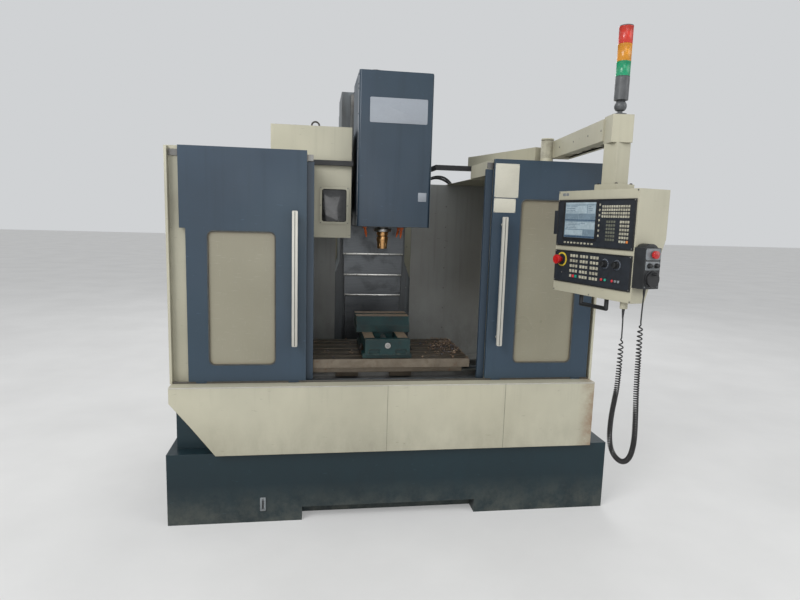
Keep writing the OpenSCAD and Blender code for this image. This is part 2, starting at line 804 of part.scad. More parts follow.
module x_rails_and_motor() {
    color(steel) for (sy = [-1, 1])
        block([-saddle_w / 2 + 10, table_y + sy * x_rail_y - rail_w / 2, saddle_top],
            [saddle_w / 2 - 10, table_y + sy * x_rail_y + rail_w / 2, saddle_top + rail_h]);
    color(black) translate([-saddle_w / 2, table_y, x_screw_z]) rotate([0, -90, 0]) rotate(180) {
        difference() {
            translate([-48, -52, 0]) cube([96, 104, 12]);
            translate([0, 0, -1]) cylinder(h = 10, r = screw_r + run_clear);
        }
        translate([-46, -46, 12]) cube([92, 92, 84]);
        translate([0, 0, 96]) cylinder(h = 30, r = 42);
    }
}

module x_ballscrew() {
    color(steel) {
        bar_x([-saddle_w / 2 - 6, table_y, x_screw_z], saddle_w + 2, screw_r);
        bar_x([-saddle_w / 2 + 41, table_y, x_screw_z], 14, 24);
    }
}

module work_table() {
    cx = table_x;
    color(steel) difference() {
        union() {
            block([cx - table_l / 2, table_y - table_w / 2, table_bottom + 34],
                [cx + table_l / 2, table_y + table_w / 2, table_h]);
            block([cx - table_l / 2 + 30, table_y - table_w / 2 + 40, table_bottom],
                [cx + table_l / 2 - 30, table_y + table_w / 2 - 40, table_h - 10]);
        }
        // T-slots along the table
        for (i = [0 : slots - 1]) {
            y = table_y + (i - (slots - 1) / 2) * slot_pitch;
            block([cx - table_l, y - slot_w / 2, table_h - 32], [cx + table_l, y + slot_w / 2, table_h + 1]);
            block([cx - table_l, y - slot_w * 0.85, table_h - 32], [cx + table_l, y + slot_w * 0.85, table_h - 19]);
        }
    }
    // Rail blocks under the table
    color(cast) for (sy = [-1, 1], bx = [cx - truck_x, cx + truck_x]) {
        y = table_y + sy * x_rail_y;
        difference() {
            block([bx - truck_l / 2, y - 36, saddle_top + 5], [bx + truck_l / 2, y + 36, table_bottom]);
            block([bx - truck_l, y - rail_w / 2 - air, saddle_top],
                [bx + truck_l, y + rail_w / 2 + air, saddle_top + rail_h + air]);
        }
    }
    // Nut housing on the X screw
    color(cast) difference() {
        block([cx - 60, table_y - 42, x_screw_z - 34], [cx + 60, table_y + 42, table_bottom]);
        bar_x([cx - 61, table_y, x_screw_z], 122, screw_r + air);
    }
}

// Machine vise, lengthwise from front to rear
module vise_body() {
    color("#1f4a45") {
        difference() {
            union() {
                // Base with clamping flanges
                translate([vise_x, 0, 0]) block([-vise_w / 2 - 12, vise_y0 + 18, table_h],
                    [vise_w / 2 + 12, vise_y0 + vise_len, table_h + 24]);
                translate([vise_x, 0, 0]) block([-vise_w / 2, vise_y0 + 4, table_h + 20],
                    [vise_w / 2, vise_y0 + vise_len, way_z]);
                // Screw bearing block
                translate([vise_x, 0, 0]) block([-vise_w / 2, vise_y0 + 4, table_h + 20],
                    [vise_w / 2, vise_y0 + 48, way_z + 6]);
            }
            // Trough between the ways
            translate([vise_x, 0, 0]) block([-62, vise_y0 + 48, table_h + 24],
                [62, fixed_jaw_y - 4, way_z + 10]);
            // Screw bearing
            bar_y([vise_x, vise_y0, vise_screw_z], 60, vise_screw_r + run_clear);
            bar_y([vise_x, fixed_jaw_y - 10, vise_screw_z], 40, vise_screw_r + run_clear);
            // Clamping slots in the flanges
            for (sx = [-1, 1]) translate([vise_x + sx * (vise_w / 2 + 12), vise_y0 + 120, table_h - 1]) {
                cylinder(h = 30, r = 9);
                translate([sx > 0 ? 0 : -20, -9, 0]) cube([20, 18, 30]);
            }
            // Cored pockets in the bearing block's face
            for (sx = [-1, 1]) translate([vise_x + sx * 70, vise_y0 + 3, table_h + 38]) round_plate(60, 26, 8, 12);
        }
        // Fixed jaw
        translate([vise_x, 0, 0]) block([-148, fixed_jaw_y, way_z], [148, fixed_jaw_y + fixed_jaw_d, jaw_z]);
    }
    color(steel) translate([vise_x, 0, 0]) block([-150, fixed_jaw_y - 10, way_z + 8], [150, fixed_jaw_y, jaw_z]);
}

module vise_jaw() {
    y1 = moving_jaw_y + moving_jaw_d - 10;
    color("#1f4a45") translate([vise_x, 0, 0]) {
        along_x(-148, 148) polygon([[moving_jaw_y, way_z + seat], [moving_jaw_y, way_z + 40],
            [moving_jaw_y + 30, jaw_z], [y1, jaw_z], [y1, way_z + seat]]);
        difference() {
            block([-56, moving_jaw_y + 10, table_h + 46], [56, y1, way_z + 1]);
            bar_y([0, moving_jaw_y, vise_screw_z], 120, vise_screw_r + air);
        }
    }
    color(steel) translate([vise_x, 0, 0]) block([-150, y1, way_z + 8], [150, y1 + 10, jaw_z]);
}

module vise_screw() {
    color(steel) {
        bar_y([vise_x, vise_y0 + 6, vise_screw_z], vise_len - fixed_jaw_d + 10, vise_screw_r);
        bar_y([vise_x, vise_y0 + 48.5, vise_screw_z], 12, 24);
        difference() {
            bar_y([vise_x, vise_y0 - 0.5, vise_screw_z], 6.5, vise_screw_r);
            bar_y([vise_x, vise_y0 - 1, vise_screw_z], 5, 9, $fn = 6);
        }
    }
}

// Head and spindle
module head_casting() {
    color(cast) difference() {
        union() {
            along_x(-125, 125) polygon([[spindle_y - 130, head_z], [spindle_y - 140, head_z + 20],
                [spindle_y - 140, head_z + 230], [spindle_y - 90, head_z + 262], [spindle_y + 110, head_z + 262],
                [cover_y - 90, head_z + 350], [cover_y + 25, head_z + 350], [cover_y + 25, head_z]]);
            block([-185, cover_y - 5, head_z], [185, cover_y + 25, head_z + 350]);
            // Rail blocks
            for (sx = [-1, 1], dz = [0, 250])
                block([sx * z_rail_x - 34, cover_y + 25, head_z + dz], [sx * z_rail_x + 34, column_y - 6,
                    head_z + dz + 100]);
            // Nut housing on the Z screw
            block([-45, cover_y + 25, head_z + 120], [45, z_screw_y + 40, head_z + 230]);
        }
        for (sx = [-1, 1])
            block([sx * z_rail_x - rail_w / 2 - air, column_y - rail_tip - air, head_z - 1],
                [sx * z_rail_x + rail_w / 2 + air, column_y + 1, head_z + 351]);
        bar_z([0, z_screw_y, head_z + 119], 112, screw_r + air);
        // Spindle bore
        bar_z([0, spindle_y, head_z - 1], 264, shaft_d / 2 + run_clear);
        // Cored pockets in the arm's sides
        for (sx = [-1, 1]) translate([sx * 125, spindle_y + 250, head_z + 140]) rotate([90, 0, 90])
            translate([0, 0, -45]) linear_extrude(90) round_rect(210, 150, 30);
    }
}

module spindle_motor() {
    z = head_z + 262;
    color(black) translate([0, spindle_y, z]) {
        difference() {
            union() {
                translate([-100, -100, 0]) cube([200, 200, 18]);
                cylinder(h = 60, r = 85);
            }
            translate([0, 0, -1]) cylinder(h = 40, r = shaft_d / 2 + 2);
        }
        difference() {
            translate([0, 0, 60]) cylinder(h = 260, r = 92);
            for (i = [0 : 15]) rotate(i * 22.5) translate([96, 0, 70]) cylinder(h = 220, r = 9);
        }
        translate([0, 0, 320]) cylinder(h = 60, r = 70);
    }
}

module head_cover() {
    x0 = -164;
    x1 = 245;
    y0 = spindle_y - 180;
    y1 = spindle_y + 270;
    z0 = head_z + 4;
    z1 = 2340;
    r = 14;
    color(slate) difference() {
        translate([0, 0, z0]) linear_extrude(z1 - z0)
            translate([(x0 + x1) / 2, (y0 + y1) / 2]) round_rect(x1 - x0, y1 - y0, r);
        translate([0, 0, z0 - 1]) linear_extrude(z1 - z0 + 1 - sheet)
            translate([(x0 + x1) / 2, (y0 + y1) / 2])
                round_rect(x1 - x0 - 2 * sheet, y1 - y0 - 2 * sheet, r - sheet);
        // Rear left open for the casting
        block([-132, y1 - 30, z0 - 1], [132, y1 + 1, head_z + 360]);
    }
    // Brackets that hold the cover to the casting
    color(slate) for (pz = [head_z + 60, head_z + 170]) {
        block([x0 + sheet, spindle_y - 30, pz], [-125, spindle_y + 10, pz + 30]);
        block([125, spindle_y - 30, pz], [x1 - sheet, spindle_y + 10, pz + 30]);
    }
}

module coolant_nozzle(p, tilt) {
    translate(p) translate([0, 0, -10]) cylinder(h = 10, r = 12);
    translate(p) rotate([0, tilt, 0]) {
        for (i = [0 : 2]) translate([0, 0, -16 - i * 12]) sphere(r = 8);
        translate([0, 0, -40 - 24]) cylinder(h = 24, r1 = 3, r2 = 7);
    }
}

module coolant_nozzles() {
    color("#d9673b") {
        coolant_nozzle([108, spindle_y - 40, head_z], 6);
        coolant_nozzle([108, spindle_y + 70, head_z], 14);
        coolant_nozzle([-100, spindle_y + 60, head_z], -10);
    }
}

module spindle_shaft() {
    z = head_z - 28;
    color(steel) translate([0, spindle_y, 0]) difference() {
        union() {
            translate([0, 0, z + 18]) cylinder(h = 290, d = shaft_d);
            translate([0, 0, z]) cylinder(h = 18, d = shaft_d + 33);
        }
        translate([0, 0, z - 1]) cylinder(h = 70, r1 = 22.3, r2 = 14);
        translate([0, 0, z + 69]) cylinder(h = 140, r = 9);
    }
}

module tool_holder() {
    z = head_z - 28;
    color(steel) translate([0, spindle_y, 0]) difference() {
        union() {
            translate([0, 0, z - 22]) cylinder(h = 22, d = holder_d);
            translate([0, 0, z - 30]) cylinder(h = 9, d = holder_d - 12);
            translate([0, 0, z - 52]) cylinder(h = 23, d = holder_d);
            translate([0, 0, z - 99]) cylinder(h = 48, r1 = holder_d / 2 - 6, r2 = holder_d / 2 - 2);
            translate([0, 0, z]) cylinder(h = 62, r1 = 21.8, r2 = 14.2);
        }
        translate([0, 0, z - 100]) cylinder(h = 56, d = collet_d);
        for (a = [0 : 60 : 300]) rotate(a) translate([holder_d / 2 - 1, 0, z - 90]) cylinder(h = 22, r = 5);
    }
}

// Sliding doors
module door_leaf(x_inner, s, pane_top, grow) {
    x_outer = x_inner + s * door_w;
    px = x_inner + s * (pane_edge + pane_w / 2);
    ph = pane_top - pane_bottom;
    color(slate) {
        difference() {
            union() {
                block([min(x_inner, x_outer), door_y, door_bottom], [max(x_inner, x_outer), door_back, encl_h]);
                block([min(x_outer, x_outer + s * grow), door_y, pane_top_left + 8],
                    [max(x_outer, x_outer + s * grow), door_back, encl_h]);
            }
            // Window cut-out and the pocket that holds the pane
            translate([px, door_y - 1, pane_bottom + ph / 2]) round_plate(pane_w, ph, pane_r, door_t + 2);
            block([px - pane_w / 2 - 20, door_y + 8, pane_bottom - 20],
                [px + pane_w / 2 + 20, door_back + 1, pane_top + 20]);
            // Groove over the lower rail
            block([min(x_inner, x_outer) - 1, door_y + door_t / 2 - 4, door_bottom - 1],
                [max(x_inner, x_outer) + 1, door_y + door_t / 2 + 4, door_bottom + 3]);
        }
        // Guide shoes at the bottom and the top
        for (d = [30, door_w - 90]) difference() {
            x = x_inner + s * (d + 30);
            block([x - 25, door_y + 3, trough_h + 2], [x + 25, door_back - 3, door_bottom]);
            block([x - 26, door_y + door_t / 2 - 3.5, trough_h],
                [x + 26, door_y + door_t / 2 + 3.5, trough_h + 10.5]);
        }
        xs = x_outer - s * 55;
        block([xs - 50, door_back, 1810], [xs + 50, fixed_y - 6.4, 1852]);
        block([xs - 50, fixed_y - 6.4, 1845.5], [xs + 50, fixed_y - 1, 1852]);
    }
}

module door_pane(x_inner, s, pane_top) {
    px = x_inner + s * (pane_edge + pane_w / 2);
    ph = pane_top - pane_bottom;
    color("#bfc3b8", 0.4) translate([px, door_y + 8, pane_bottom + ph / 2]) round_plate(pane_w + 38, ph + 38, 12, 6);
}

module door_handle(x_inner, s) {
    x = x_inner + s * handle_in;
    y = door_y - handle_gap - 16;
    color(cream) {
        translate([x, y, handle_mid]) round_plate(handle_w, handle_l, 5, 16);
        for (sz = [-1, 1])
            bar_y([x, y + 15, handle_mid + sz * (handle_l / 2 - 40)], handle_gap + 1, 9);
    }
}

module left_door() { door_leaf(left_edge, -1, pane_top_left, 28); }
module left_window() { door_pane(left_edge, -1, pane_top_left); }
module left_handle() { door_handle(left_edge, -1); }
module right_door() { door_leaf(right_edge, 1, pane_top_right, 10); }
module right_window() { door_pane(right_edge, 1, pane_top_right); }
module right_handle() { door_handle(right_edge, 1); }

// Pendant arm and operator box
module pendant_beam() {
    ang = 17;
    color(cream) {
        difference() {
            translate([pivot_x, pivot_y, 0]) rotate(ang) block([-42, 46, encl_h + 10], [42, beam_l, arm_h - 30]);
            translate([pivot_x, pivot_y, 0]) rotate(ang)
                block([-38, 50, encl_h + 10 + sheet], [38, beam_l - sheet, arm_h - 34]);
        }
        // Base plate with the pivot post
        translate([pivot_x, pivot_y, 0]) {
            rotate(ang) block([-60, -60, encl_h], [60, 200, encl_h + 10]);
            translate([0, 0, encl_h + 10]) cylinder(h = arm_bottom - seat - encl_h - 10, r = 34);
            translate([0, 0, encl_h + 10]) cylinder(h = arm_h - encl_h - 6, r = 22);
            translate([0, 0, arm_h + 4]) cylinder(h = 8, r = 34);
        }
        // Rear foot down to the lower roof
        translate([pivot_x, pivot_y, 0]) rotate(ang)
            block([-42, beam_l - 80, rear_roof_h], [42, beam_l - 40, encl_h + 10]);
    }
}

// Places a child in the swing arm's slightly turned frame
module on_arm() {
    translate([swivel_x, swivel_y, 0]) rotate(-6.4) children();
}

module pendant_arm() {
    reach = 800;
    color(cream) {
        difference() {
            union() {
                on_arm() block([-50, 40, arm_bottom], [50, reach, arm_h]);
                // Knuckle on the pivot post and the plate that joins it
                translate([pivot_x, pivot_y, arm_bottom]) cylinder(h = arm_h - arm_bottom, r = 34);
                translate([pivot_x, pivot_y, 0]) block([0, -26, arm_bottom], [60, 26, arm_h]);
            }
            on_arm() block([-46, 44, arm_bottom + 4], [46, reach - 40, arm_h - 4]);
            // Slots in the arm's underside
            for (i = [0 : 4]) on_arm() translate([0, 130 + i * 130, arm_bottom - 1]) {
                cylinder(h = 6, r = 8);
                translate([0, 40, 0]) cylinder(h = 6, r = 8);
                translate([-8, 0, 0]) cube([16, 40, 6]);
            }
            translate([pivot_x, pivot_y, arm_bottom - 1]) cylinder(h = 120, r = 22 + run_clear);
        }
        // Sleeve round the swivel pin
        difference() {
            on_arm() block([-44, -44, arm_bottom - 13], [44, 44, arm_h + 8]);
            translate([swivel_x, swivel_y, arm_bottom - 14]) cylinder(h = 100, r = pin_r + run_clear);
        }
    }
}

module signal_lamp() {
    z = arm_h + 8;
    translate([swivel_x, swivel_y, z]) {
        color(black) cylinder(h = 8, r = lens_d / 2);
        color(black) cylinder(h = 60, r = 10);
        color(black) translate([0, 0, 38]) sphere(r = 25);
        color(grey) translate([0, 0, 60]) cylinder(h = 95, d = lens_d + 1);
        color("#2f9e58") translate([0, 0, 155]) cylinder(h = 58, d = lens_d);
        color("#d98a1f") translate([0, 0, 213]) cylinder(h = 68, d = lens_d);
        color("#c4372d") translate([0, 0, 281]) cylinder(h = 68, d = lens_d);
        color(black) translate([0, 0, 349]) cylinder(h = 5, d = lens_d + 1);
    }
}

// Places a child in the pendant's frame, where -Y looks at the operator
module on_pendant() {
    translate([swivel_x, swivel_y, 0]) rotate(-pendant_yaw) children();
}

// Side outline of the operator box, moved in by a wall
module box_side(w) {
    polygon([[-box_front + w, box_bottom + w], [-box_front + w, box_top - w],
        [box_d - box_front - w, box_top - w],
        [box_d - box_front - w, box_bottom + 250 + w * 0.2], [-25 - w * 0.8, box_bottom + w]]);
}

module pendant_box() {
    color(cream) on_pendant() {
        // Sheet-metal box, hollow, with its cable entry through the gland
        difference() {
            union() {
                along_x(-box_w / 2, box_w / 2) box_side(0);
                bar_z([gland_x, -60, box_bottom - 30], 31, 15);
            }
            along_x(-box_w / 2 + 2, box_w / 2 - 2) box_side(2);
            bar_z([gland_x, -60, box_bottom - 31], 40, 8);
        }
        // Flange, square tube and pin
        block([-62, -50, box_top - 1], [62, 50, box_top + 26]);
        difference() {
            block([-tube_w / 2, -tube_w / 2, box_top + 10], [tube_w / 2, tube_w / 2, arm_bottom - 13 - seat]);
            block([-tube_w / 2 - 1, -24, box_top + 60], [tube_w / 2 - 5, 24, arm_bottom - 50]);
        }
        bar_z([0, 0, arm_bottom - 14], 90, pin_r);
        // Hook plate that carries the hand unit
        block([box_w / 2, -85, unit_top - 60], [box_w / 2 + 3, -35, unit_top - 10]);
    }
}

module control_panels() {
    y = -box_front - panel_proud;
    color(black) on_pendant() {
        block([-225, y, box_top - 238], [225, -box_front, box_top - 38]);
        difference() {
            union() {
                block([-225, y, box_top - 398], [225, -box_front, box_top - 258]);
                // Collar round the emergency stop
                bar_y([stop_x, y - 6, knob_z], 8, 24);
            }
            bar_y([stop_x, y - 7, knob_z], 20, 11 + run_clear);
            for (x = knob_xs) bar_y([x, y - 1, knob_z], 20, 4 + run_clear);
        }
        // Side port beside the screen
        block([-box_w / 2 - 24, -box_front + 2, box_top - 190], [-box_w / 2, -box_front + 42, box_top - 85]);
    }
}

module emergency_stop() {
    y = -box_front - panel_proud;
    color("#c02a24") on_pendant() {
        bar_y([stop_x, y - 24, knob_z], 22, 11);
        bar_y([stop_x, y - 36, knob_z], 14, 20);
    }
}

module panel_knob(x) {
    y = -box_front - panel_proud;
    color(black) on_pendant() translate([x, y - seat, knob_z]) rotate([90, 0, 0]) {
        translate([0, 0, -3.5]) cylinder(h = 6, r = 4);
        cylinder(h = 6, r = 15);
        cylinder(h = 20, r = 11);
        translate([-2, -14, 0]) cube([4, 28, 20]);
    }
}

module feed_knob() { panel_knob(knob_xs[0]); }
module spindle_knob() { panel_knob(knob_xs[1]); }

module pendant_handle() {
    color(black) on_pendant() {
        for (sx = [-1, 1]) bar_z([-5 + sx * 75, -60, box_bottom - 45], 45, 9);
        bar_x([-80, -60, box_bottom - 45], 150, 9);
        for (sx = [-1, 1]) translate([-5 + sx * 75, -60, box_bottom - 45]) sphere(r = 9);
    }
}

module hand_unit() {
    color(black) on_pendant() difference() {
        union() {
            block([box_w / 2 + 3, -100, unit_bottom], [box_w / 2 + unit_t, -20, unit_top - 15]);
            along_x(box_w / 2 + 3, box_w / 2 + unit_t - 8) translate([-60, unit_top - 40]) circle(r = 40);
        }
        bar_x([box_w / 2 + unit_t - 8, -60, wheel_z], 10, 31);
        bar_x([box_w / 2 + unit_t - 20, -60, wheel_z], 14, 5 + run_clear);
        bar_x([box_w / 2 + unit_t - 12, -60, unit_top - 40], 14, 9 + run_clear);
    }
}

module hand_wheel() {
    color(grey) on_pendant() {
        bar_x([box_w / 2 + unit_t - 19, -60, wheel_z], 14, 5);
        bar_x([box_w / 2 + unit_t - 8 + seat, -60, wheel_z], 20, 30);
        bar_x([box_w / 2 + unit_t + 12, -60, wheel_z + 20], 16, 6);
    }
}

module hand_stop() {
    color("#c02a24") on_pendant() {
        bar_x([box_w / 2 + unit_t - 6, -60, unit_top - 40], 14, 9);
        bar_x([box_w / 2 + unit_t + 6, -60, unit_top - 40], 12, 15);
    }
}

// Sweeps a ring of points along a route
function unit(v) = v / norm(v);
function tangent(p, i) = unit(p[min(i + 1, len(p) - 1)] - p[max(i - 1, 0)]);
function side_of(t) = unit(cross(t, [1, 0, 0]));
function ring(p, i, r, n) = let (ends = i == 0 || i == len(p) - 1,
    t = ends ? [0, 0, sign(tangent(p, i)[2])] : tangent(p, i), u = side_of(t), v = cross(t, u))
    [for (k = [0 : n - 1]) p[i] + r * (cos(k * 360 / n) * u + sin(k * 360 / n) * v)];

module sweep_tube(p, r, n) {
    m = len(p);
    pts = [for (i = [0 : m - 1]) each ring(p, i, r, n)];
    sides = [for (i = [0 : m - 2], k = [0 : n - 1])
        [i * n + k, i * n + (k + 1) % n, (i + 1) * n + (k + 1) % n, (i + 1) * n + k]];
    cap0 = [[for (k = [n - 1 : -1 : 0]) k]];
    cap1 = [[for (k = [0 : n - 1]) (m - 1) * n + k]];
    polyhedron(points = pts, faces = concat(sides, cap0, cap1));
}

module curly_cord() {
    color(black) sweep_tube(CORD, cord_r, 8);
}

bed_casting();
levelling_pads();
coolant_tank();
front_trough();
side_skirts();
side_panels();
front_panels();
roof_panels();
inner_frame();
splash_guards();
guide_rails();
column_casting();
feed_motors();
electrical_cabinet();
magazine_cover();
magazine_carrier();
pendant_beam();
cover_ends();
y_ballscrew();
z_ballscrew();
saddle_casting();
x_rails_and_motor();
saddle_covers();
x_ballscrew();
work_table();
vise_body();
vise_screw();
vise_jaw();
head_casting();
head_cover();
spindle_motor();
coolant_nozzles();
head_way_cover();
spindle_shaft();
tool_holder();
y_front_cover_2();
y_front_cover_3();
y_rear_cover_2();
z_cover_2();
z_cover_3();
left_door();
left_window();
left_handle();
right_door();
right_window();
right_handle();
cabinet_door();
magazine_disc();
pendant_arm();
signal_lamp();
pendant_box();
control_panels();
emergency_stop();
feed_knob();
spindle_knob();
pendant_handle();
hand_unit();
hand_wheel();
hand_stop();
curly_cord();
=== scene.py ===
"""Looks of the CNC machining centre: paint, glass, trim, fasteners, keys, cord, swarf, floor and light.

Places and sizes on the part are in millimetres, most of them worked out from the frame's nodes.
Camera, materials, floor and lights measure in metres.
"""
import random
from math import ceil, cos, exp, pi, radians, sin, sqrt, tau

import bmesh
import bpy
from mathutils import Matrix, Vector


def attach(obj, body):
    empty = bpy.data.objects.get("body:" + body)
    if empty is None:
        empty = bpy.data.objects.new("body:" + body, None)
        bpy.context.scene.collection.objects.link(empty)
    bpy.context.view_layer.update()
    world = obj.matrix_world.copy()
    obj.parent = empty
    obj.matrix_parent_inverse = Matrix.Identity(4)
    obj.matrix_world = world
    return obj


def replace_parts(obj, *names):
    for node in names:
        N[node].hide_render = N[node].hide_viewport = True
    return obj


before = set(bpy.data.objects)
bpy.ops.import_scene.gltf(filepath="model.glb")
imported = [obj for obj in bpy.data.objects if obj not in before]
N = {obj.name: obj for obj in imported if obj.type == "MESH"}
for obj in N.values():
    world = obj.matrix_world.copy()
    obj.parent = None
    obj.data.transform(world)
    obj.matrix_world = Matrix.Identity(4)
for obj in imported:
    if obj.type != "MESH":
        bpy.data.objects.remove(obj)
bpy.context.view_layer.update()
MM = 0.001
SCENE = bpy.context.scene

# the camera was solved from points of the photo; its turns are in degrees
CAMERA_AT = (-0.3988, -3.8345, 1.5559)
YAW, PITCH, ROLL = 8.51, 8.025, -1.648
LENS = 26.23


def new_object(name, data):
    o = bpy.data.objects.new(name, data)
    SCENE.collection.objects.link(o)
    return o


def turned(degrees, axis="Z"):
    return Matrix.Rotation(radians(degrees), 4, axis)


def make_camera():
    cam = new_object("camera", bpy.data.cameras.new("camera"))
    turn = turned(-YAW) @ turned(90 - PITCH, "X") @ turned(-ROLL)
    cam.matrix_world = Matrix.Translation(CAMERA_AT) @ turn
    cam.data.sensor_width = 36
    cam.data.lens = LENS
    cam.data.clip_start = 0.05
    cam.data.clip_end = 200
    SCENE.camera = cam


make_camera()

# places on the frame
WORLD = Matrix.Identity(4)
LEFT, RIGHT, FRONT, BACK, UP = (-1, 0, 0), (1, 0, 0), (0, -1, 0), (0, 1, 0), (0, 0, 1)


def edges(node, at=WORLD):
    """The node's box in a local frame, as x0, x1, y0, y1, z0, z1."""
    back = at.inverted()
    points = [back @ (v.co / MM) for v in N[node].data.vertices]
    return [round(pick(p[i] for p in points), 1) for i in range(3) for pick in (min, max)]


def middle(node, at=WORLD):
    x0, x1, y0, y1, z0, z1 = edges(node, at)
    return Vector(((x0 + x1) / 2, (y0 + y1) / 2, (z0 + z1) / 2))


# the lamp stands straight above the pendant's pivot; arm and pendant are drawn square to their own frames
PIVOT = Matrix.Translation((*middle("signal_lamp").xy, 0))
PENDANT = PIVOT @ turned(-74)
ARM = PIVOT @ turned(-6.4)
HAND_UNIT = PENDANT @ turned(90)


# materials
def lin(c):
    """Linear colour of a 0-255 display colour."""
    return (*(v / 12.92 if v <= 0.04045 else ((v + 0.055) / 1.055) ** 2.4 for v in (x / 255 for x in c)), 1)


def as_colour(value):
    return value if isinstance(value, bpy.types.NodeSocket) else lin(value)


def shade(rgb, gain, lift=0, cap=250):
    """A display colour made darker or lighter."""
    return tuple(min(cap, v * gain + lift) for v in rgb)


class Tree:
    """Builds nodes in one node tree."""

    def __init__(self, tree):
        self.t = tree

    def link(self, value, socket):
        """Links or sets an input socket; None leaves it as it is."""
        if isinstance(value, bpy.types.NodeSocket):
            self.t.links.new(value, socket)
        elif value is not None:
            socket.default_value = value

    def feed(self, n, **values):
        """Sets a node up: a capitalised name is an input socket, with _ for a space, any other a setting."""
        for name, value in values.items():
            if name[0].isupper():
                self.link(value, n.inputs[name.replace("_", " ")])
            else:
                setattr(n, name, value)
        return n

    def node(self, kind, **values):
        return self.feed(self.t.nodes.new("ShaderNode" + kind), **values)

    def math(self, op, a, b=0.0, clamp=False):
        n = self.node("Math", operation=op, use_clamp=clamp)
        self.link(a, n.inputs[0])
        self.link(b, n.inputs[1])
        return n.outputs[0]

    def times(self, a, b):
        return self.math("MULTIPLY", a, b)

    def most(self, a, b):
        return self.math("MAXIMUM", a, b)

    def span(self, v, lo, hi, a=0.0, b=1.0):
        """Maps lo..hi to a..b and stops at both ends."""
        return self.node("MapRange", Value=v, From_Min=lo, From_Max=hi, To_Min=a, To_Max=b).outputs["Result"]

    def seen(self):
        """1 for rays from the camera, a reflection or a view through glass."""
        rays = self.node("LightPath").outputs
        return self.most(rays["Is Camera Ray"], self.most(rays["Is Glossy Ray"], rays["Is Transmission Ray"]))


class Mat(Tree):
    """One node material. Colours are given as 0-255 display values."""

    def __init__(self, name, **surface):
        self.m = bpy.data.materials.new(name)
        self.m.use_nodes = True
        super().__init__(self.m.node_tree)
        self.set(**surface)
        self.co = self.node("TexCoord").outputs["Object"]
        self.bumps = None

    def set(self, **values):
        """Sets sockets of the surface."""
        self.feed(self.t.nodes["Principled BSDF"], **values)

    def place(self, stretch=None, turn=None, shift=None):
        return self.node("Mapping", Vector=self.co, Scale=stretch, Rotation=turn, Location=shift).outputs[0]

    def noise(self, scale, detail, rough=0.55, warp=0.0, **place):
        where = self.place(**place) if place else self.co
        n = self.node("TexNoise", Vector=where, Scale=scale, Detail=detail, Roughness=rough, Distortion=warp)
        return n.outputs["Fac"]

    def mix(self, f, a, b):
        return self.node("Mix", data_type="RGBA", Factor=f, A=as_colour(a), B=as_colour(b)).outputs["Result"]

    def axes(self, vector=None):
        """x, y and z of a vector, or of the place on the object."""
        return self.node("SeparateXYZ", Vector=vector or self.co).outputs

    def corner(self, size):
        """1 in a corner or under an edge, 0 in the open: an occlusion mask, which the materials use to paint
        shade.
        """
        return self.span(self.node("AmbientOcclusion", samples=4, Distance=size).outputs["AO"], 0.9, 0.35)

    def edge(self, size):
        """1 on an outer edge, for worn chips and, on plates and plastic, a painted highlight."""
        dot = self.node("VectorMath", operation="DOT_PRODUCT")
        self.link(self.node("Bevel", samples=4, Radius=size).outputs[0], dot.inputs[0])
        self.link(self.node("NewGeometry").outputs["True Normal"], dot.inputs[1])
        return self.span(dot.outputs["Value"], 0.97, 0.82)

    def bump(self, height, strength, distance):
        n = self.node("Bump", Strength=strength, Distance=distance, Height=height, Normal=self.bumps)
        self.bumps = n.outputs[0]

    def done(self, colour, rough, alpha=1.0):
        self.set(Base_Color=as_colour(colour), Roughness=rough, Alpha=alpha, Normal=self.bumps)
        return self.m


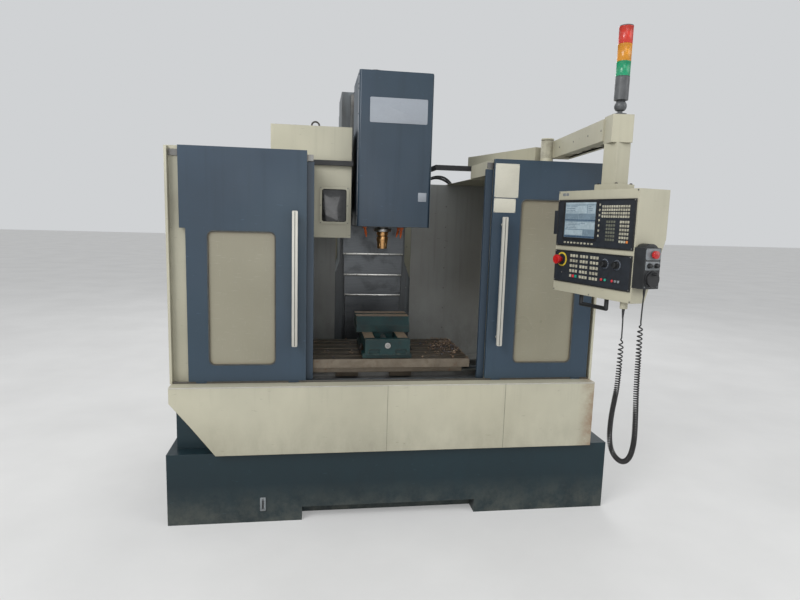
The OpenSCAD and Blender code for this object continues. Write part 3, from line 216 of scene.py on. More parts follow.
def paint(name, rgb, chip, rough=0.42, grime_and_shade=0.5, streaks=0.2, chips=0.6, low=None, tint=None, rust=0.0,
          scuffs=0.35, bare_above=None, stain=None):
    """Machine paint: colour drift, run marks, soiling and painted shade in corners, chipped edges, scuffs,
    fine orange peel.

    low is the bottom, top and strength of a dirty film; stain is axis, start, full, colour and strength.
    """
    m = Mat(name, Specular_IOR_Level=0.4)
    pale = sum(rgb) > 330
    light = shade(rgb, 1.05, 1)
    c = m.mix(m.span(m.noise(1.3, 4), 0.36, 0.64), shade(rgb, 0.93), light)
    if tint:
        c = m.mix(m.span(m.noise(0.8, 2, shift=(3, 1, 7)), 0.42, 0.75, 0, 0.5), c, tint)
    runs = m.span(m.noise(1.0, 6, 0.6, stretch=(34, 34, 1.3)), 0.52, 0.8, 0, streaks)
    spots = m.span(m.noise(26, 8, 0.75), 0.6, 0.74, 0, streaks * 0.8)
    # painted shade: an occlusion mask darkens corners and the underside of edges, in patches
    corner_shade = m.times(m.corner(0.06), m.span(m.noise(7, 5), 0.3, 0.62, 0.15, grime_and_shade))
    dirt_and_shade = m.most(m.most(runs, spots), corner_shade)
    if low:
        bottom, top, strength = low
        patches = m.span(m.noise(14, 8, 0.7, stretch=(1, 1, 0.5)), 0.36, 0.66, 0.12, strength)
        dirt_and_shade = m.most(dirt_and_shade, m.times(m.span(m.axes()[2], top, bottom), patches))
    # the dirty colour also paints that corner shade
    c = m.mix(m.times(dirt_and_shade, 0.75), c, (74, 64, 48) if pale else (20, 22, 22))
    if rust:
        c = m.mix(m.span(m.noise(16, 8, 0.7, shift=(5, 5, 5)), 0.68, 0.76, 0, rust), c, (96, 54, 30))
    mark = m.span(m.noise(19, 3, 0.6, stretch=(1, 1, 5), turn=(0.4, 0.2, 0.5)), 0.7, 0.73, 0, scuffs)
    c = m.mix(mark, c, (88, 82, 70) if pale else shade(rgb, 1.4, 22))
    c = m.mix(m.times(m.edge(0.0035), m.span(m.noise(22, 6, 0.7), 0.44, 0.6, 0, chips)), c, chip)
    line = m.span(m.noise(7, 2, 0.5, stretch=(1, 1, 26), turn=(0.3, 0.5, 0.2)), 0.7, 0.712, 0, 0.2)
    c = m.mix(line, c, light)
    if stain:
        axis, start, full, soiled, strength = stain
        patches = m.span(m.noise(11, 8, 0.72, shift=(2, 4, 1)), 0.38, 0.62, 0.1, strength)
        c = m.mix(m.times(m.span(m.axes()[axis], start, full), patches), c, soiled)
    if bare_above:
        c = m.mix(m.span(m.axes()[2], bare_above, bare_above + 0.0005), c, (66, 62, 58))
    m.bump(m.noise(420, 2), 0.12, 0.0004)
    m.bump(m.noise(3.2, 2), 0.1, 0.005)
    gloss = m.span(m.noise(4, 5), 0.3, 0.7, rough - 0.06, rough + 0.08)
    return m.done(c, m.math("ADD", gloss, m.times(dirt_and_shade, 0.28), True))


def plate(name, rgb):
    """Thin coated label plate: fine brushed grain, faint smears, and a painted highlight on every edge."""
    m = Mat(name)
    grain = m.noise(60, 4, 0.6, stretch=(1, 1, 22))
    c = m.mix(m.span(grain, 0.3, 0.7), shade(rgb, 0.97), shade(rgb, 1.03))
    c = m.mix(m.span(m.noise(6, 5, 0.6, stretch=(1, 1, 2)), 0.42, 0.7, 0, 0.3), c, shade(rgb, 0.86))
    c = m.mix(m.span(m.noise(90, 6, 0.7), 0.64, 0.72, 0, 0.35), c, shade(rgb, 0.5, 12))
    # painted highlight: every edge is lightened evenly
    c = m.mix(m.times(m.edge(0.0015), 0.5), c, shade(rgb, 1.2, 14, 245))
    m.bump(grain, 0.06, 0.0002)
    return m.done(c, m.span(m.noise(12, 4), 0.3, 0.7, 0.32, 0.48))


def metal(name, rgb, rough, brush=(1, 60, 1), oil_and_shade=0.35, depth=0.08, metallic=1.0, stain=(70, 56, 40),
          rust=0.0):
    """Ground or turned steel with a brushed direction, an oily film and stains, and painted shade in its
    corners.
    """
    m = Mat(name, Metallic=metallic)
    lines = m.noise(9, 6, 0.7, stretch=brush)
    c = m.mix(m.span(lines, 0.3, 0.7), shade(rgb, 0.86), shade(rgb, 1.07))
    film = m.span(m.noise(7, 8, 0.7, warp=0.6), 0.5, 0.72, 0, oil_and_shade)
    # painted shade: an occlusion mask adds to the oily film, darkening corners and the underside of edges
    film = m.most(film, m.times(m.corner(0.03), oil_and_shade + 0.2))
    c = m.mix(film, c, stain)
    if rust:
        c = m.mix(m.span(m.noise(30, 8, 0.7, shift=(1, 8, 3)), 0.6, 0.7, 0, rust), c, (102, 60, 36))
    m.bump(lines, depth, 0.0006)
    gloss = m.span(lines, 0.3, 0.7, rough - 0.07, rough + 0.09)
    return m.done(c, m.math("ADD", gloss, m.times(film, 0.22), True))


def plastic(name, rgb, rough=0.4, grain=900, coat=0.0, grime_and_shade=0.4, soil=None):
    """Moulded plastic with a fine grain, handled-smooth patches, soiled specks, painted shade in its corners
    and a painted highlight on its edges.
    """
    m = Mat(name, Coat_Weight=coat)
    c = m.mix(m.span(m.noise(24, 5), 0.35, 0.65), shade(rgb, 0.88), shade(rgb, 1.08, 2))
    # painted shade: an occlusion mask darkens corners, together with random soiled specks
    dirt_and_shade = m.most(m.times(m.corner(0.012), grime_and_shade), m.span(m.noise(60, 7, 0.7), 0.62, 0.76, 0, grime_and_shade * 0.6))
    c = m.mix(dirt_and_shade, c, soil or shade(rgb, 0.3, 14))
    # painted highlight: every edge is lightened evenly
    c = m.mix(m.times(m.edge(0.0012), 0.35), c, shade(rgb, 1.35, 26, 245))
    m.bump(m.noise(grain, 2), 0.1, 0.0003)
    return m.done(c, m.span(m.noise(40, 4), 0.3, 0.7, rough - 0.08, rough + 0.12))


def cast(name, rgb):
    """Filled and painted iron casting: lumpy skin, oily runs, and painted shade, tinted oily, in its low
    parts and corners.
    """
    m = Mat(name)
    c = m.mix(m.span(m.noise(2.4, 6), 0.35, 0.65), shade(rgb, 0.92), shade(rgb, 1.05))
    oil_and_shade = m.span(m.noise(1.0, 7, 0.65, stretch=(16, 16, 1.2)), 0.47, 0.7, 0, 0.7)
    # painted shade: an occlusion mask darkens corners with the oily colour
    oil_and_shade = m.most(oil_and_shade, m.times(m.corner(0.08), 0.7))
    c = m.mix(oil_and_shade, c, (34, 31, 26))
    c = m.mix(m.times(m.edge(0.004), m.span(m.noise(14, 6), 0.45, 0.6, 0, 0.6)), c, (150, 150, 146))
    m.bump(m.noise(95, 5, 0.6), 0.32, 0.0012)
    m.bump(m.noise(11, 3), 0.25, 0.004)
    return m.done(c, m.span(oil_and_shade, 0, 0.6, 0.55, 0.3))


def ballscrew(axis):
    """A rolled ball track winds round the shaft along this axis; the track is painted darker, as shade in its
    groove.
    """
    m = Mat(axis + "_ballscrew_steel", Metallic=1.0)
    x = m.axes()
    centre = middle(axis + "_ballscrew") * MM
    along = "xyz".index(axis)
    a, b = [i for i in range(3) if i != along]
    angle = m.math("ARCTAN2", m.math("SUBTRACT", x[a], centre[a]), m.math("SUBTRACT", x[b], centre[b]))
    pitch = 0.016
    turns = m.math("ADD", m.math("DIVIDE", x[along], pitch), m.math("DIVIDE", angle, tau))
    track = m.span(m.math("ABSOLUTE", m.math("SUBTRACT", m.math("FRACT", turns), 0.5)), 0.14, 0.24)
    # painted shade: the middle of the track is darker than the lands between its turns
    c = m.mix(track, (92, 88, 80), (176, 176, 172))
    c = m.mix(m.span(m.noise(30, 6), 0.5, 0.7, 0, 0.5), c, (64, 52, 36))
    m.bump(track, 0.9, 0.002)
    return m.done(c, m.span(track, 0, 1, 0.4, 0.2))


def milky_pane():
    """Polycarbonate gone milky: oily mist, painted shadow along the frame, wiped arcs, fine scratches."""
    m = Mat("pane_milky", Specular_IOR_Level=0.4)
    haze = m.span(m.noise(1.6, 4, 0.5), 0.3, 0.7)
    runs = m.span(m.noise(1.0, 6, 0.6, stretch=(26, 26, 0.8)), 0.46, 0.75)
    c = m.mix(haze, (146, 142, 123), (155, 151, 133))
    c = m.mix(m.times(runs, 0.22), c, (124, 117, 95))
    c = m.mix(m.times(m.span(m.axes()[2], 1.35, 1.7), 0.35), c, (122, 111, 94))
    # painted shadow: an occlusion mask darkens and browns the pane along its frame
    rim = m.times(m.corner(0.07), m.span(m.noise(9, 5), 0.3, 0.6, 0.55, 0.9))
    c = m.mix(rim, c, (124, 109, 86))
    wiped = m.span(m.noise(16, 2, 0.5, stretch=(22, 1, 1.2), turn=(0, 0.9, 0)), 0.68, 0.7)
    rubbed = m.span(m.noise(13, 2, 0.5, stretch=(1.2, 1, 24), turn=(0, 0.5, 0)), 0.69, 0.71)
    scratch = m.most(wiped, rubbed)
    c = m.mix(m.times(scratch, 0.18), c, (206, 204, 192))
    m.bump(scratch, 0.15, 0.0003)
    veil = m.math("ADD", m.span(haze, 0, 1, 0.8, 0.88), m.times(runs, 0.08), True)
    return m.done(c, m.span(haze, 0, 1, 0.26, 0.38), veil)


def green_iron():
    """Green painted vise body; its slide between 919.5 and 927 mm and the jaw tops above 1 m are machined."""
    m = Mat("vise_green_iron", Specular_IOR_Level=0.35)
    level = m.span(m.axes(m.node("TexCoord").outputs["Normal"])[2], 0.9, 0.98)
    z = m.axes()[2]
    slide = m.times(m.times(level, m.span(z, 0.9195, 0.9205)), m.span(z, 0.927, 0.9265))
    bare = m.most(slide, m.times(level, m.span(z, 1.0, 1.001)))
    green = m.mix(m.span(m.noise(9, 6), 0.35, 0.66), (8, 34, 36), (16, 50, 50))
    green = m.mix(m.span(m.noise(26, 8, 0.7), 0.52, 0.72, 0, 0.7), green, (30, 27, 21))
    worn = m.times(m.edge(0.003), m.span(m.noise(30, 5), 0.42, 0.58, 0, 0.85))
    green = m.mix(worn, green, (128, 122, 108))
    grain = m.span(m.noise(12, 6, 0.7, stretch=(60, 1, 1)), 0.35, 0.65)
    ground = m.mix(grain, (168, 138, 112), (205, 182, 156))
    m.set(Metallic=m.times(bare, 0.75))
    m.bump(m.noise(160, 4), 0.14, 0.0006)
    return m.done(m.mix(bare, green, ground), m.span(bare, 0, 1, 0.42, 0.34))


def lens(name, rgb):
    """Coloured lamp glass with a faint inner light and dust."""
    m = Mat(name, IOR=1.49, Transmission_Weight=0.25, Emission_Color=lin(rgb), Emission_Strength=0.08)
    c = m.mix(m.span(m.noise(18, 4), 0.35, 0.65), shade(rgb, 0.85), rgb)
    c = m.mix(m.span(m.noise(60, 6, 0.7), 0.55, 0.75, 0, 0.4), c, (150, 138, 116))
    return m.done(c, m.span(m.noise(50, 4), 0.3, 0.7, 0.12, 0.3))


def glow(name, rgb, power):
    """Lit display surface behind a slightly smeared cover."""
    m = Mat(name, Coat_Weight=0.3)
    c = m.mix(m.span(m.noise(30, 5), 0.35, 0.65), shade(rgb, 0.92), rgb)
    m.set(Emission_Color=c, Emission_Strength=power)
    return m.done(c, m.span(m.noise(90, 5), 0.35, 0.7, 0.14, 0.36))


def frame_mix():
    """Slate jambs in front; the loose top rails behind them are black."""
    m = Mat("frame_slate_black", Specular_IOR_Level=0.4)
    c = m.mix(m.span(m.axes()[1], -0.6, -0.59), SLATE, (22, 23, 25))
    c = m.mix(m.span(m.noise(1.0, 6, 0.6, stretch=(34, 34, 1.3)), 0.5, 0.8, 0, 0.3), c, (24, 26, 27))
    # painted shade: an occlusion mask darkens corners and the underside of edges
    c = m.mix(m.times(m.corner(0.05), 0.5), c, (20, 21, 21))
    c = m.mix(m.times(m.edge(0.003), m.span(m.noise(22, 6), 0.44, 0.6, 0, 0.5)), c, (110, 118, 126))
    m.bump(m.noise(420, 2), 0.12, 0.0004)
    return m.done(c, m.span(m.noise(5, 5), 0.3, 0.7, 0.32, 0.48))


CREAM, CREAM_AGED, CREAM_CHIP = (184, 181, 162), (172, 166, 142), (134, 128, 112)
SLATE = (48, 64, 79)
MAT = {
    "cast_paint": cast("cast_paint_grey", (104, 110, 114)),
    "steel": metal("steel_ground", (168, 168, 166), 0.32),
    "base_paint": paint("base_teal", (20, 41, 48), (104, 112, 110), 0.4, low=(0.0, 0.4, 0.55), rust=0.35,
                        chips=0.5, stain=(2, 0.2, 0.0, (96, 98, 90), 0.55)),
    "cream_paint": paint("cream_machine", CREAM, CREAM_CHIP, 0.46, low=(0.35, 0.66, 0.34), streaks=0.14,
                         tint=CREAM_AGED, scuffs=0.3, rust=0.2),
    "slate_paint": paint("slate_machine", SLATE, (118, 132, 144), 0.38, tint=(43, 64, 72)),
    "grey_sheet": paint("grey_sheet_oily", (158, 161, 160), (176, 176, 172), streaks=0.35, grime_and_shade=0.7,
                        low=(0.56, 1.2, 0.6), tint=(142, 134, 122), rust=0.4),
    "table_iron": metal("table_ground", (122, 113, 101), 0.42, brush=(1, 90, 1), oil_and_shade=0.5, rust=0.45,
                        depth=0.12),
    "vise_green": green_iron(),
    "black_metal": paint("black_baked", (28, 30, 32), (110, 110, 108), 0.4, chips=0.4),
    "black_plastic": plastic("black_moulded", (24, 25, 27), 0.42),
    "grey_plastic": plastic("grey_moulded", (34, 36, 38), 0.45),
    "panel_face": plastic("panel_slate", (27, 32, 39), 0.5, grain=500),
    "red_plastic": plastic("red_gloss", (188, 30, 30), 0.28, coat=0.3, soil=(70, 18, 16)),
    "orange_plastic": plastic("orange_jointed", (226, 104, 40), 0.34, soil=(96, 52, 26)),
    "lamp_plastic": plastic("lamp_grey", (84, 86, 88)),
    "pane": milky_pane(),
    "cord_rubber": plastic("cord_jacket", (20, 20, 22), 0.38, grain=1600, soil=(56, 52, 44)),
}
# two copies of one cover steel: the flat covers' copy is lighter than the upright covers', painted light on
# up-facing plates
SHEET = metal("cover_plate", (92, 95, 98), 0.36, brush=(1, 1, 26), oil_and_shade=0.5, stain=(40, 40, 38), metallic=0.85)
SHEET_Y_LIT = metal("cover_plate_flat_lit", (104, 106, 106), 0.36, brush=(1, 26, 1), oil_and_shade=0.5, stain=(48, 44, 38),
                metallic=0.85)
# painted highlight: a steel brighter than the ground steel, for the lips of the covers
BRIGHT_HIGHLIGHT = metal("highlight_strip", (196, 196, 192), 0.3, brush=(1, 60, 60), oil_and_shade=0.3)
FASTENER = metal("fastener_zinc", (140, 141, 139), 0.36, brush=(40, 40, 40), oil_and_shade=0.5)
BLACK_BOLT = metal("fastener_black", (40, 40, 42), 0.42, brush=(40, 40, 40), oil_and_shade=0.4, metallic=0.8)
HOLDER = metal("holder_warm", (206, 160, 108), 0.3, brush=(1, 1, 40), oil_and_shade=0.4, stain=(110, 72, 40))
RAIL = metal("rail_ground", (120, 120, 118), 0.3, brush=(60, 60, 1), oil_and_shade=0.4)
SWARF = metal("swarf", (196, 172, 150), 0.3, brush=(80, 80, 80), oil_and_shade=0.4, stain=(120, 84, 56))
SWARF_DARK = metal("swarf_blue", (120, 124, 138), 0.34, brush=(80, 80, 80), oil_and_shade=0.3)
HANDLE = paint("handle_white", (192, 190, 181), (140, 140, 138), 0.38, grime_and_shade=0.6, streaks=0.15,
               low=(0.85, 1.3, 0.35))
MOTOR = paint("motor_black", (34, 36, 39), (120, 120, 118), 0.4, chips=0.4)
BARE_PLATE = plate("bare_plate", (200, 197, 182))
LIGHT_PLATE = plate("light_plate", (150, 156, 164))
DARK_GLASS = plastic("dark_glass", (24, 26, 28), 0.16, grain=60, coat=0.5)
RUBBER = plastic("rubber_seal", (30, 32, 33), 0.62, grain=700, soil=(70, 64, 54))
SEAL = plastic("grey_seal", (66, 68, 66), 0.6, grain=700, soil=(92, 80, 62))
KEY_LIGHT = plastic("key_light", (172, 168, 150), 0.5, grime_and_shade=0.5, soil=(98, 92, 78))
KEY_MID = plastic("key_mid", (96, 98, 86), 0.5, grime_and_shade=0.5)
KEY_DARK = plastic("key_dark", (66, 73, 85), 0.5)
KEY_RED = plastic("key_red", (206, 52, 60), 0.45)
KEY_GREEN = plastic("key_green", (30, 150, 128), 0.45)
KEY_ORANGE = plastic("key_orange", (226, 130, 60), 0.45)
YELLOW = plastic("yellow_ring", (222, 192, 60), soil=(120, 96, 40))
GREY_LIGHT = plastic("grey_light_plate", (122, 127, 130), 0.45)
SCREEN = glow("screen_base", (112, 130, 142), 0.16)
SCREEN_DARK = glow("screen_dark", (64, 84, 106), 0.14)
SCREEN_LIGHT = glow("screen_light", (156, 172, 180), 0.16)
SPECIAL = {
    **dict.fromkeys(("saddle_covers", "y_front_cover_2", "y_front_cover_3", "y_rear_cover_2"), SHEET_Y_LIT),
    **dict.fromkeys(("z_cover_2", "z_cover_3", "head_way_cover", "cover_ends"), SHEET),
    **dict.fromkeys(("left_handle", "right_handle"), HANDLE),
    **dict.fromkeys(("feed_motors", "spindle_motor"), MOTOR),
    "guide_rails": RAIL,
    "tool_holder": HOLDER,
    "inner_frame": frame_mix(),
    "front_trough": paint("cream_trough", CREAM, (128, 86, 58), 0.46, low=(0.35, 0.66, 0.36), streaks=0.16,
                          chips=0.9, tint=CREAM_AGED, scuffs=0.3, rust=0.35,
                          stain=(0, 1.0, 1.08, (132, 96, 68), 0.8)),
    "magazine_cover": paint("cream_magazine", CREAM, CREAM_CHIP, 0.46, streaks=0.16, tint=CREAM_AGED,
                            bare_above=2.0475),
    **{axis + "_ballscrew": ballscrew(axis) for axis in "yzx"},
}
FINE_NODES = ("signal_lamp", "curly_cord", "left_window", "right_window", "coolant_nozzles", "magazine_disc")


def round_edges(o, width, degrees):
    bev = o.modifiers.new("edge", "BEVEL")
    bev.width = width * MM
    bev.segments = 2
    bev.limit_method = "ANGLE"
    bev.angle_limit = radians(degrees)
    return bev


def dress_nodes():
    """Gives each node its material and, unless it is fine or soft, a small rounded edge."""
    for name, o in N.items():
        slot_name = o.material_slots[0].material.name.split(".")[0]
        o.material_slots[0].material = SPECIAL.get(name) or MAT[slot_name]
        if name in FINE_NODES:
            continue
        weld = o.modifiers.new("weld", "WELD")
        weld.merge_threshold = 0.00002
        flat = o.modifiers.new("flat", "DECIMATE")
        flat.decimate_type = "DISSOLVE"
        flat.angle_limit = radians(0.4)
        round_edges(o, 0.9, 50).harden_normals = True


dress_nodes()


# mesh helpers
FRAMES = {"pendant": PENDANT, "arm": ARM}


def basis(axis):
    """The axis as a unit vector and two directions square to it."""
    a = Vector(axis).normalized()
    side = Vector((0, 0, 1)) if abs(a.z) < 0.9 else Vector((1, 0, 0))
    b = side.cross(a).normalized()
    return a, b, a.cross(b)


def carried(path):
    """Each point of a path with two directions square to it, carried along without twist."""
    _, b, _ = basis(path[1] - path[0])
    for k, q in enumerate(path):
        t = (path[min(k + 1, len(path) - 1)] - path[max(k - 1, 0)]).normalized()
        b = (b - t * b.dot(t)).normalized()
        yield q, b, t.cross(b)


def catmull(p, u):
    """Point u of a smooth curve through the points p."""
    i = min(int(u), len(p) - 2)
    t = u - i
    a, b, c, d = p[max(i - 1, 0)], p[i], p[i + 1], p[min(i + 2, len(p) - 1)]
    bend, twist = 2 * a - 5 * b + 4 * c - d, 3 * b - a - 3 * c + d
    return 0.5 * (2 * b + (c - a) * t + bend * t * t + twist * t * t * t)


def rounded(x0, x1, z0, z1, r, n, y):
    """Points at depth y round a rectangle with corners of radius r."""
    corners = ((x1 - r, z1 - r), (x0 + r, z1 - r), (x0 + r, z0 + r), (x1 - r, z0 + r))
    return [(x + r * cos(t), y, z + r * sin(t)) for k, (x, z) in enumerate(corners)
            for t in (radians(90 * (k + i / n)) for i in range(n + 1))]


def hexagon(t):
    """Radius of a hexagon at angle t, where its sides are 1 from its middle."""
    return 1 / cos(t % (pi / 3) - pi / 6)


def grid(*sides):
    """Every point (x, y, z) of a grid; a side is a row of places or a single one."""
    xs, ys, zs = (side if isinstance(side, (tuple, range)) else (side,) for side in sides)
    return [(x, y, z) for x in xs for y in ys for z in zs]


class Shape:
    """Collects geometry, then becomes a piece. On the pendant and the arm it is drawn square to them."""

    def __init__(self, body="machine_frame", at=None):
        self.bm = bmesh.new()
        self.body = body
        self.at = FRAMES.get(body, WORLD) if at is None else at
        self.mat = 0

    def add(self, points, faces):
        vs = [self.bm.verts.new((self.at @ Vector(p)) * MM) for p in points]
        for f in faces:
            self.bm.faces.new([vs[i] for i in f]).material_index = self.mat

    def skin(self, rings, closed=False):
        """Quads between rings of points; both ends get a cap unless the last ring meets the first."""
        n, rows = len(rings[0]), len(rings)
        faces = []
        for k in range(rows if closed else rows - 1):
            for i in range(n):
                j, up = (i + 1) % n, (k + 1) % rows
                faces.append((k * n + i, k * n + j, up * n + j, up * n + i))
        if not closed:
            faces += [tuple(range(n - 1, -1, -1)), tuple(range((rows - 1) * n, rows * n))]
        self.add([p for ring in rings for p in ring], faces)

    def box(self, xs, ys, zs):
        """A box between three pairs of places."""
        (y0, y1), (z0, z1) = ys, zs
        self.skin([[(x, y0, z0), (x, y1, z0), (x, y1, z1), (x, y0, z1)] for x in xs])

    def lathe(self, origin, axis, profile, n, star=None):
        """profile holds (radius, height on the axis) from cap to cap; star(k, i, angle) scales a radius."""
        a, b, c = basis(axis)
        rings = []
        for k, (r, h) in enumerate(profile):
            ring = []
            for i in range(n):
                t = tau * i / n
                q = r * (star(k, i, t) if star else 1)
                ring.append(Vector(origin) + a * h + (b * cos(t) + c * sin(t)) * q)
            rings.append(ring)
        self.skin(rings)

    def slab(self, x0, x1, z0, z1, r, y_back, y_front, n=4, ease=0.0):
        """Rounded plate that faces -Y (y_front is the smaller y); ease rounds its front edge."""
        steps = [(y_back, 0.0), (y_front + ease, 0.0)]
        if ease:
            steps += [(y_front + ease * 0.3, ease * 0.3), (y_front, ease)]
        self.skin([rounded(x0 + e, x1 - e, z0 + e, z1 - e, max(0.05, r - e), n, y) for y, e in steps])

    def ring(self, x0, x1, z0, z1, r, w, y_back, y_front, n=4):
        """Rounded frame, w wide towards the inside, facing -Y."""
        outer = (x0, x1, z0, z1, r, n)
        inner = (x0 + w, x1 - w, z0 + w, z1 - w, max(0.1, r - w), n)
        lines = ((outer, y_back), (outer, y_front), (inner, y_front), (inner, y_back))
        self.skin([rounded(*line, y) for line, y in lines], closed=True)

    def tube(self, path, r):
        """Round tube of 14 sides through path points."""
        angles = [tau * i / 14 for i in range(14)]
        self.skin([[q + (b * cos(t) + c * sin(t)) * r for t in angles] for q, b, c in carried(path)])

    def screws(self, xs, ys, zs, axis, r=4.5, h=2.4):
        """Button heads with hex sockets on a grid of places; axis points out of their surface."""
        head = [(r, -0.3), (r, 0.3 * h), (r * 0.92, 0.7 * h), (r * 0.74, 0.95 * h), (r * 0.6, h)]
        socket = [(r * 0.5, h), (r * 0.48, 0.35 * h)]
        for place in grid(xs, ys, zs):
            self.lathe(place, axis, head + socket, 24,
                       lambda k, i, t: 0.87 * hexagon(t) if k >= len(head) else 1)

    def hexnut(self, at, axis, width, h, stud):
        """Hexagon nut on a washer, with a stud's end standing out of it."""
        washer = 3.0
        out = Vector(axis)
        seat = Vector(at) + out * washer
        r, stud_r = width / sqrt(3), width * 0.33
        self.lathe(at, axis, [(width * 0.86, -0.2), (width * 0.86, washer * 0.8), (width * 0.8, washer)], 36)
        self.lathe(seat, axis, [(r * 0.96, 0), (r, h * 0.08), (r, h * 0.92), (r * 0.96, h)], 36,
                   lambda k, i, t: min(0.866 * hexagon(t), 0.95 if k in (0, 3) else 1.0))
        self.lathe(seat + out * h, axis, [(stud_r, -0.5), (stud_r, stud - 1.5), (stud_r - 1.5, stud)], 24)

    def piece(self, name, slot, *mats, bevel=0.0, smooth=35):
        """Ends the shape as a named object on its body. Without a material it wears that of its slot."""
        me = bpy.data.meshes.new(name)
        bmesh.ops.recalc_face_normals(self.bm, faces=self.bm.faces[:])
        self.bm.to_mesh(me)
        self.bm.free()
        for mat in mats or [MAT[slot]]:
            me.materials.append(mat)
        o = new_object(name, me)
        me.shade_smooth()
        me.set_sharp_from_angle(angle=radians(smooth))
        if bevel:
            round_edges(o, bevel, 45)
        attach(o, self.body)
        return o


# curly cord of the hand unit
CORD_D = 5.5
COIL_R = 8.6
TURN_POINTS = 14
START, END = (859.3, -1767.8), (832.8, -1675.15)
# the middle line of the coil: share of the way from START to END, height above the floor
ROUTE = [(0, 1314), (0, 1290), (0.02, 1240), (0.03, 1180), (0.02, 1110), (0, 1040), (-0.02, 970),
         (-0.05, 900), (-0.09, 840), (-0.13, 780), (-0.15, 725), (-0.12, 680), (-0.02, 640), (0.17, 611),
         (0.42, 598), (0.68, 600), (0.92, 614), (1.1, 640), (1.19, 680), (1.2, 730), (1.16, 785), (1.08, 840),
         (1.01, 890), (0.98, 950), (0.97, 1020), (0.97, 1090), (0.98, 1160), (1, 1200), (1, 1220)]
# how the coil opens and closes: number of the route point, share of the coil's radius, pitch
COIL = [(0, 0, 30), (3.0, 0, 24), (3.5, 1, 19), (4.6, 1, 15), (5.2, 1, 10.5), (7.6, 1, 9), (8.3, 1, 6.8),
        (21.2, 1, 6.8), (22.0, 1, 9), (23.2, 1, 11), (23.8, 1, 16), (24.6, 1, 20), (25.3, 0, 26),
        (28, 0, 30)]


def coil(u, column):
    """A value of the coil at route point u."""
    for p, q in zip(COIL, COIL[1:]):
        if u <= q[0]:
            return p[column] + (q[column] - p[column]) * ((u - p[0]) / (q[0] - p[0]))
    return COIL[-1][column]


def cord_points():
    """The wire's own line: a helix of changing pitch wound round the route."""
    across = Vector((END[0] - START[0], END[1] - START[1], 0))
    route = [Vector((*START, 0)) + across * s + Vector((0, 0, z)) for s, z in ROUTE]
    steps = 4000
    per_step = (len(route) - 1) / steps
    line = list(carried([catmull(route, i * per_step) for i in range(steps + 1)]))
    wound, angle = [(line[0][0], 0.0, 0.0)], 0.0
    for i in range(1, steps + 1):
        (p, b0, c0), (q, b1, c1) = line[i - 1], line[i]
        u, length = i * per_step, (q - p).length
        parts = max(1, ceil(length / coil(u, 2) * TURN_POINTS))
        for k in range(1, parts + 1):
            w = k / parts
            here = u - (1 - w) * per_step
            angle += tau * length / parts / coil(here, 2)
            r = coil(here, 1)
            r = COIL_R * r * r * (3 - 2 * r)
            out = b0.lerp(b1, w) * cos(angle) + c0.lerp(c1, w) * sin(angle)
            wound.append((p.lerp(q, w) + out * r, angle, r))
    # TURN_POINTS to a turn, and one every 5 mm where the wire runs straight
    kept, mark = [wound[0][0]], 0.0
    for p, angle, r in wound[1:-1]:
        if angle - mark >= tau / TURN_POINTS if r > 0.4 else (p - kept[-1]).length > 5:
            kept.append(p)
            mark = angle
    return kept + [wound[-1][0]]


def make_cord():
    pts = cord_points()
    cu = bpy.data.curves.new("hand_unit_cord", "CURVE")
    cu.dimensions = "3D"
    cu.bevel_depth = CORD_D / 2 * MM
    cu.bevel_resolution = 2
    cu.use_fill_caps = True
    sp = cu.splines.new("POLY")
    sp.points.add(len(pts) - 1)
    for p, q in zip(sp.points, pts):
        p.co = (*(q * MM), 1)
    sp.use_smooth = True
    cu.materials.append(MAT["cord_rubber"])
    o = new_object("hand_unit_cord", cu)
    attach(o, "pendant")
    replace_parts(o, "curly_cord")
    for name, q, down in (("cord_relief_unit", pts[0], 36), ("cord_relief_gland", pts[-1], 40)):
        s = Shape("pendant", WORLD)
        profile = [(6.6, 0.4)]
        for k in range(7):
            r = 6.2 - k * 0.42
            h = -1.5 - k * (down - 4) / 7
            profile += [(r, h), (r, h - 2.6), (r - 0.7, h - 3.1), (r - 0.7, h - 4.4)]
        s.lathe(q, UP, [*profile, (3.1, -down)], 24)
        s.piece(name, "black_plastic", smooth=30)


make_cord()


def make_lamp():
    """The signal lamp, with heights above its foot."""
    x, y = middle("signal_lamp").xy
    foot = (x, y, edges("signal_lamp")[4])
    dome = [radians(a) for a in range(-44, 50, 8)]
    s = Shape("arm", WORLD)
    s.lathe(foot, UP, [(28, 0.2), (28, 6), (26, 8), (14, 9), (10, 12), (10, 18), (17, 20)]
            + [(25 * cos(a), 38 + 25 * sin(a)) for a in dome]
            + [(17, 58), (24, 60.5), (28.5, 62), (28.5, 150), (27.5, 151), (27.5, 153), (28.5, 154.7)], 48)
    for t in (radians(90 + 120 * k) for k in range(3)):
        s.screws(x + 21 * cos(t), y + 21 * sin(t), foot[2] + 8, UP, 3.2, 2)
    s.piece("lamp_base", "lamp_plastic")
    for name, rgb, z0, z1 in (("green", (38, 172, 122), 155, 213), ("amber", (234, 160, 46), 213, 281),
                              ("red", (214, 62, 48), 281, 349)):
        s = Shape("arm", WORLD)
        profile = [(27.6, z0 + 0.3), (28.3, z0 + 1.2), (28.3, z0 + 3.4), (27.8, z0 + 4)]
        profile += [(27.8, z1 - 4), (28.3, z1 - 3.4), (28.3, z1 - 1), (27.6, z1 - 0.3)]
        s.lathe(foot, UP, profile, 144, lambda k, i, t: 0.982 if k in (3, 4) and i % 2 else 1.0)
        s.piece("lamp_lens_" + name, "lamp_plastic", lens("lens_" + name, rgb), smooth=60)
    s = Shape("arm", WORLD)
    s.lathe(foot, UP, [(28.2, 348.8), (28.4, 350), (27.6, 352), (22, 353.4), (8, 353.9)], 48)
    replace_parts(s.piece("lamp_cap", "lamp_plastic"), "signal_lamp")


make_lamp()


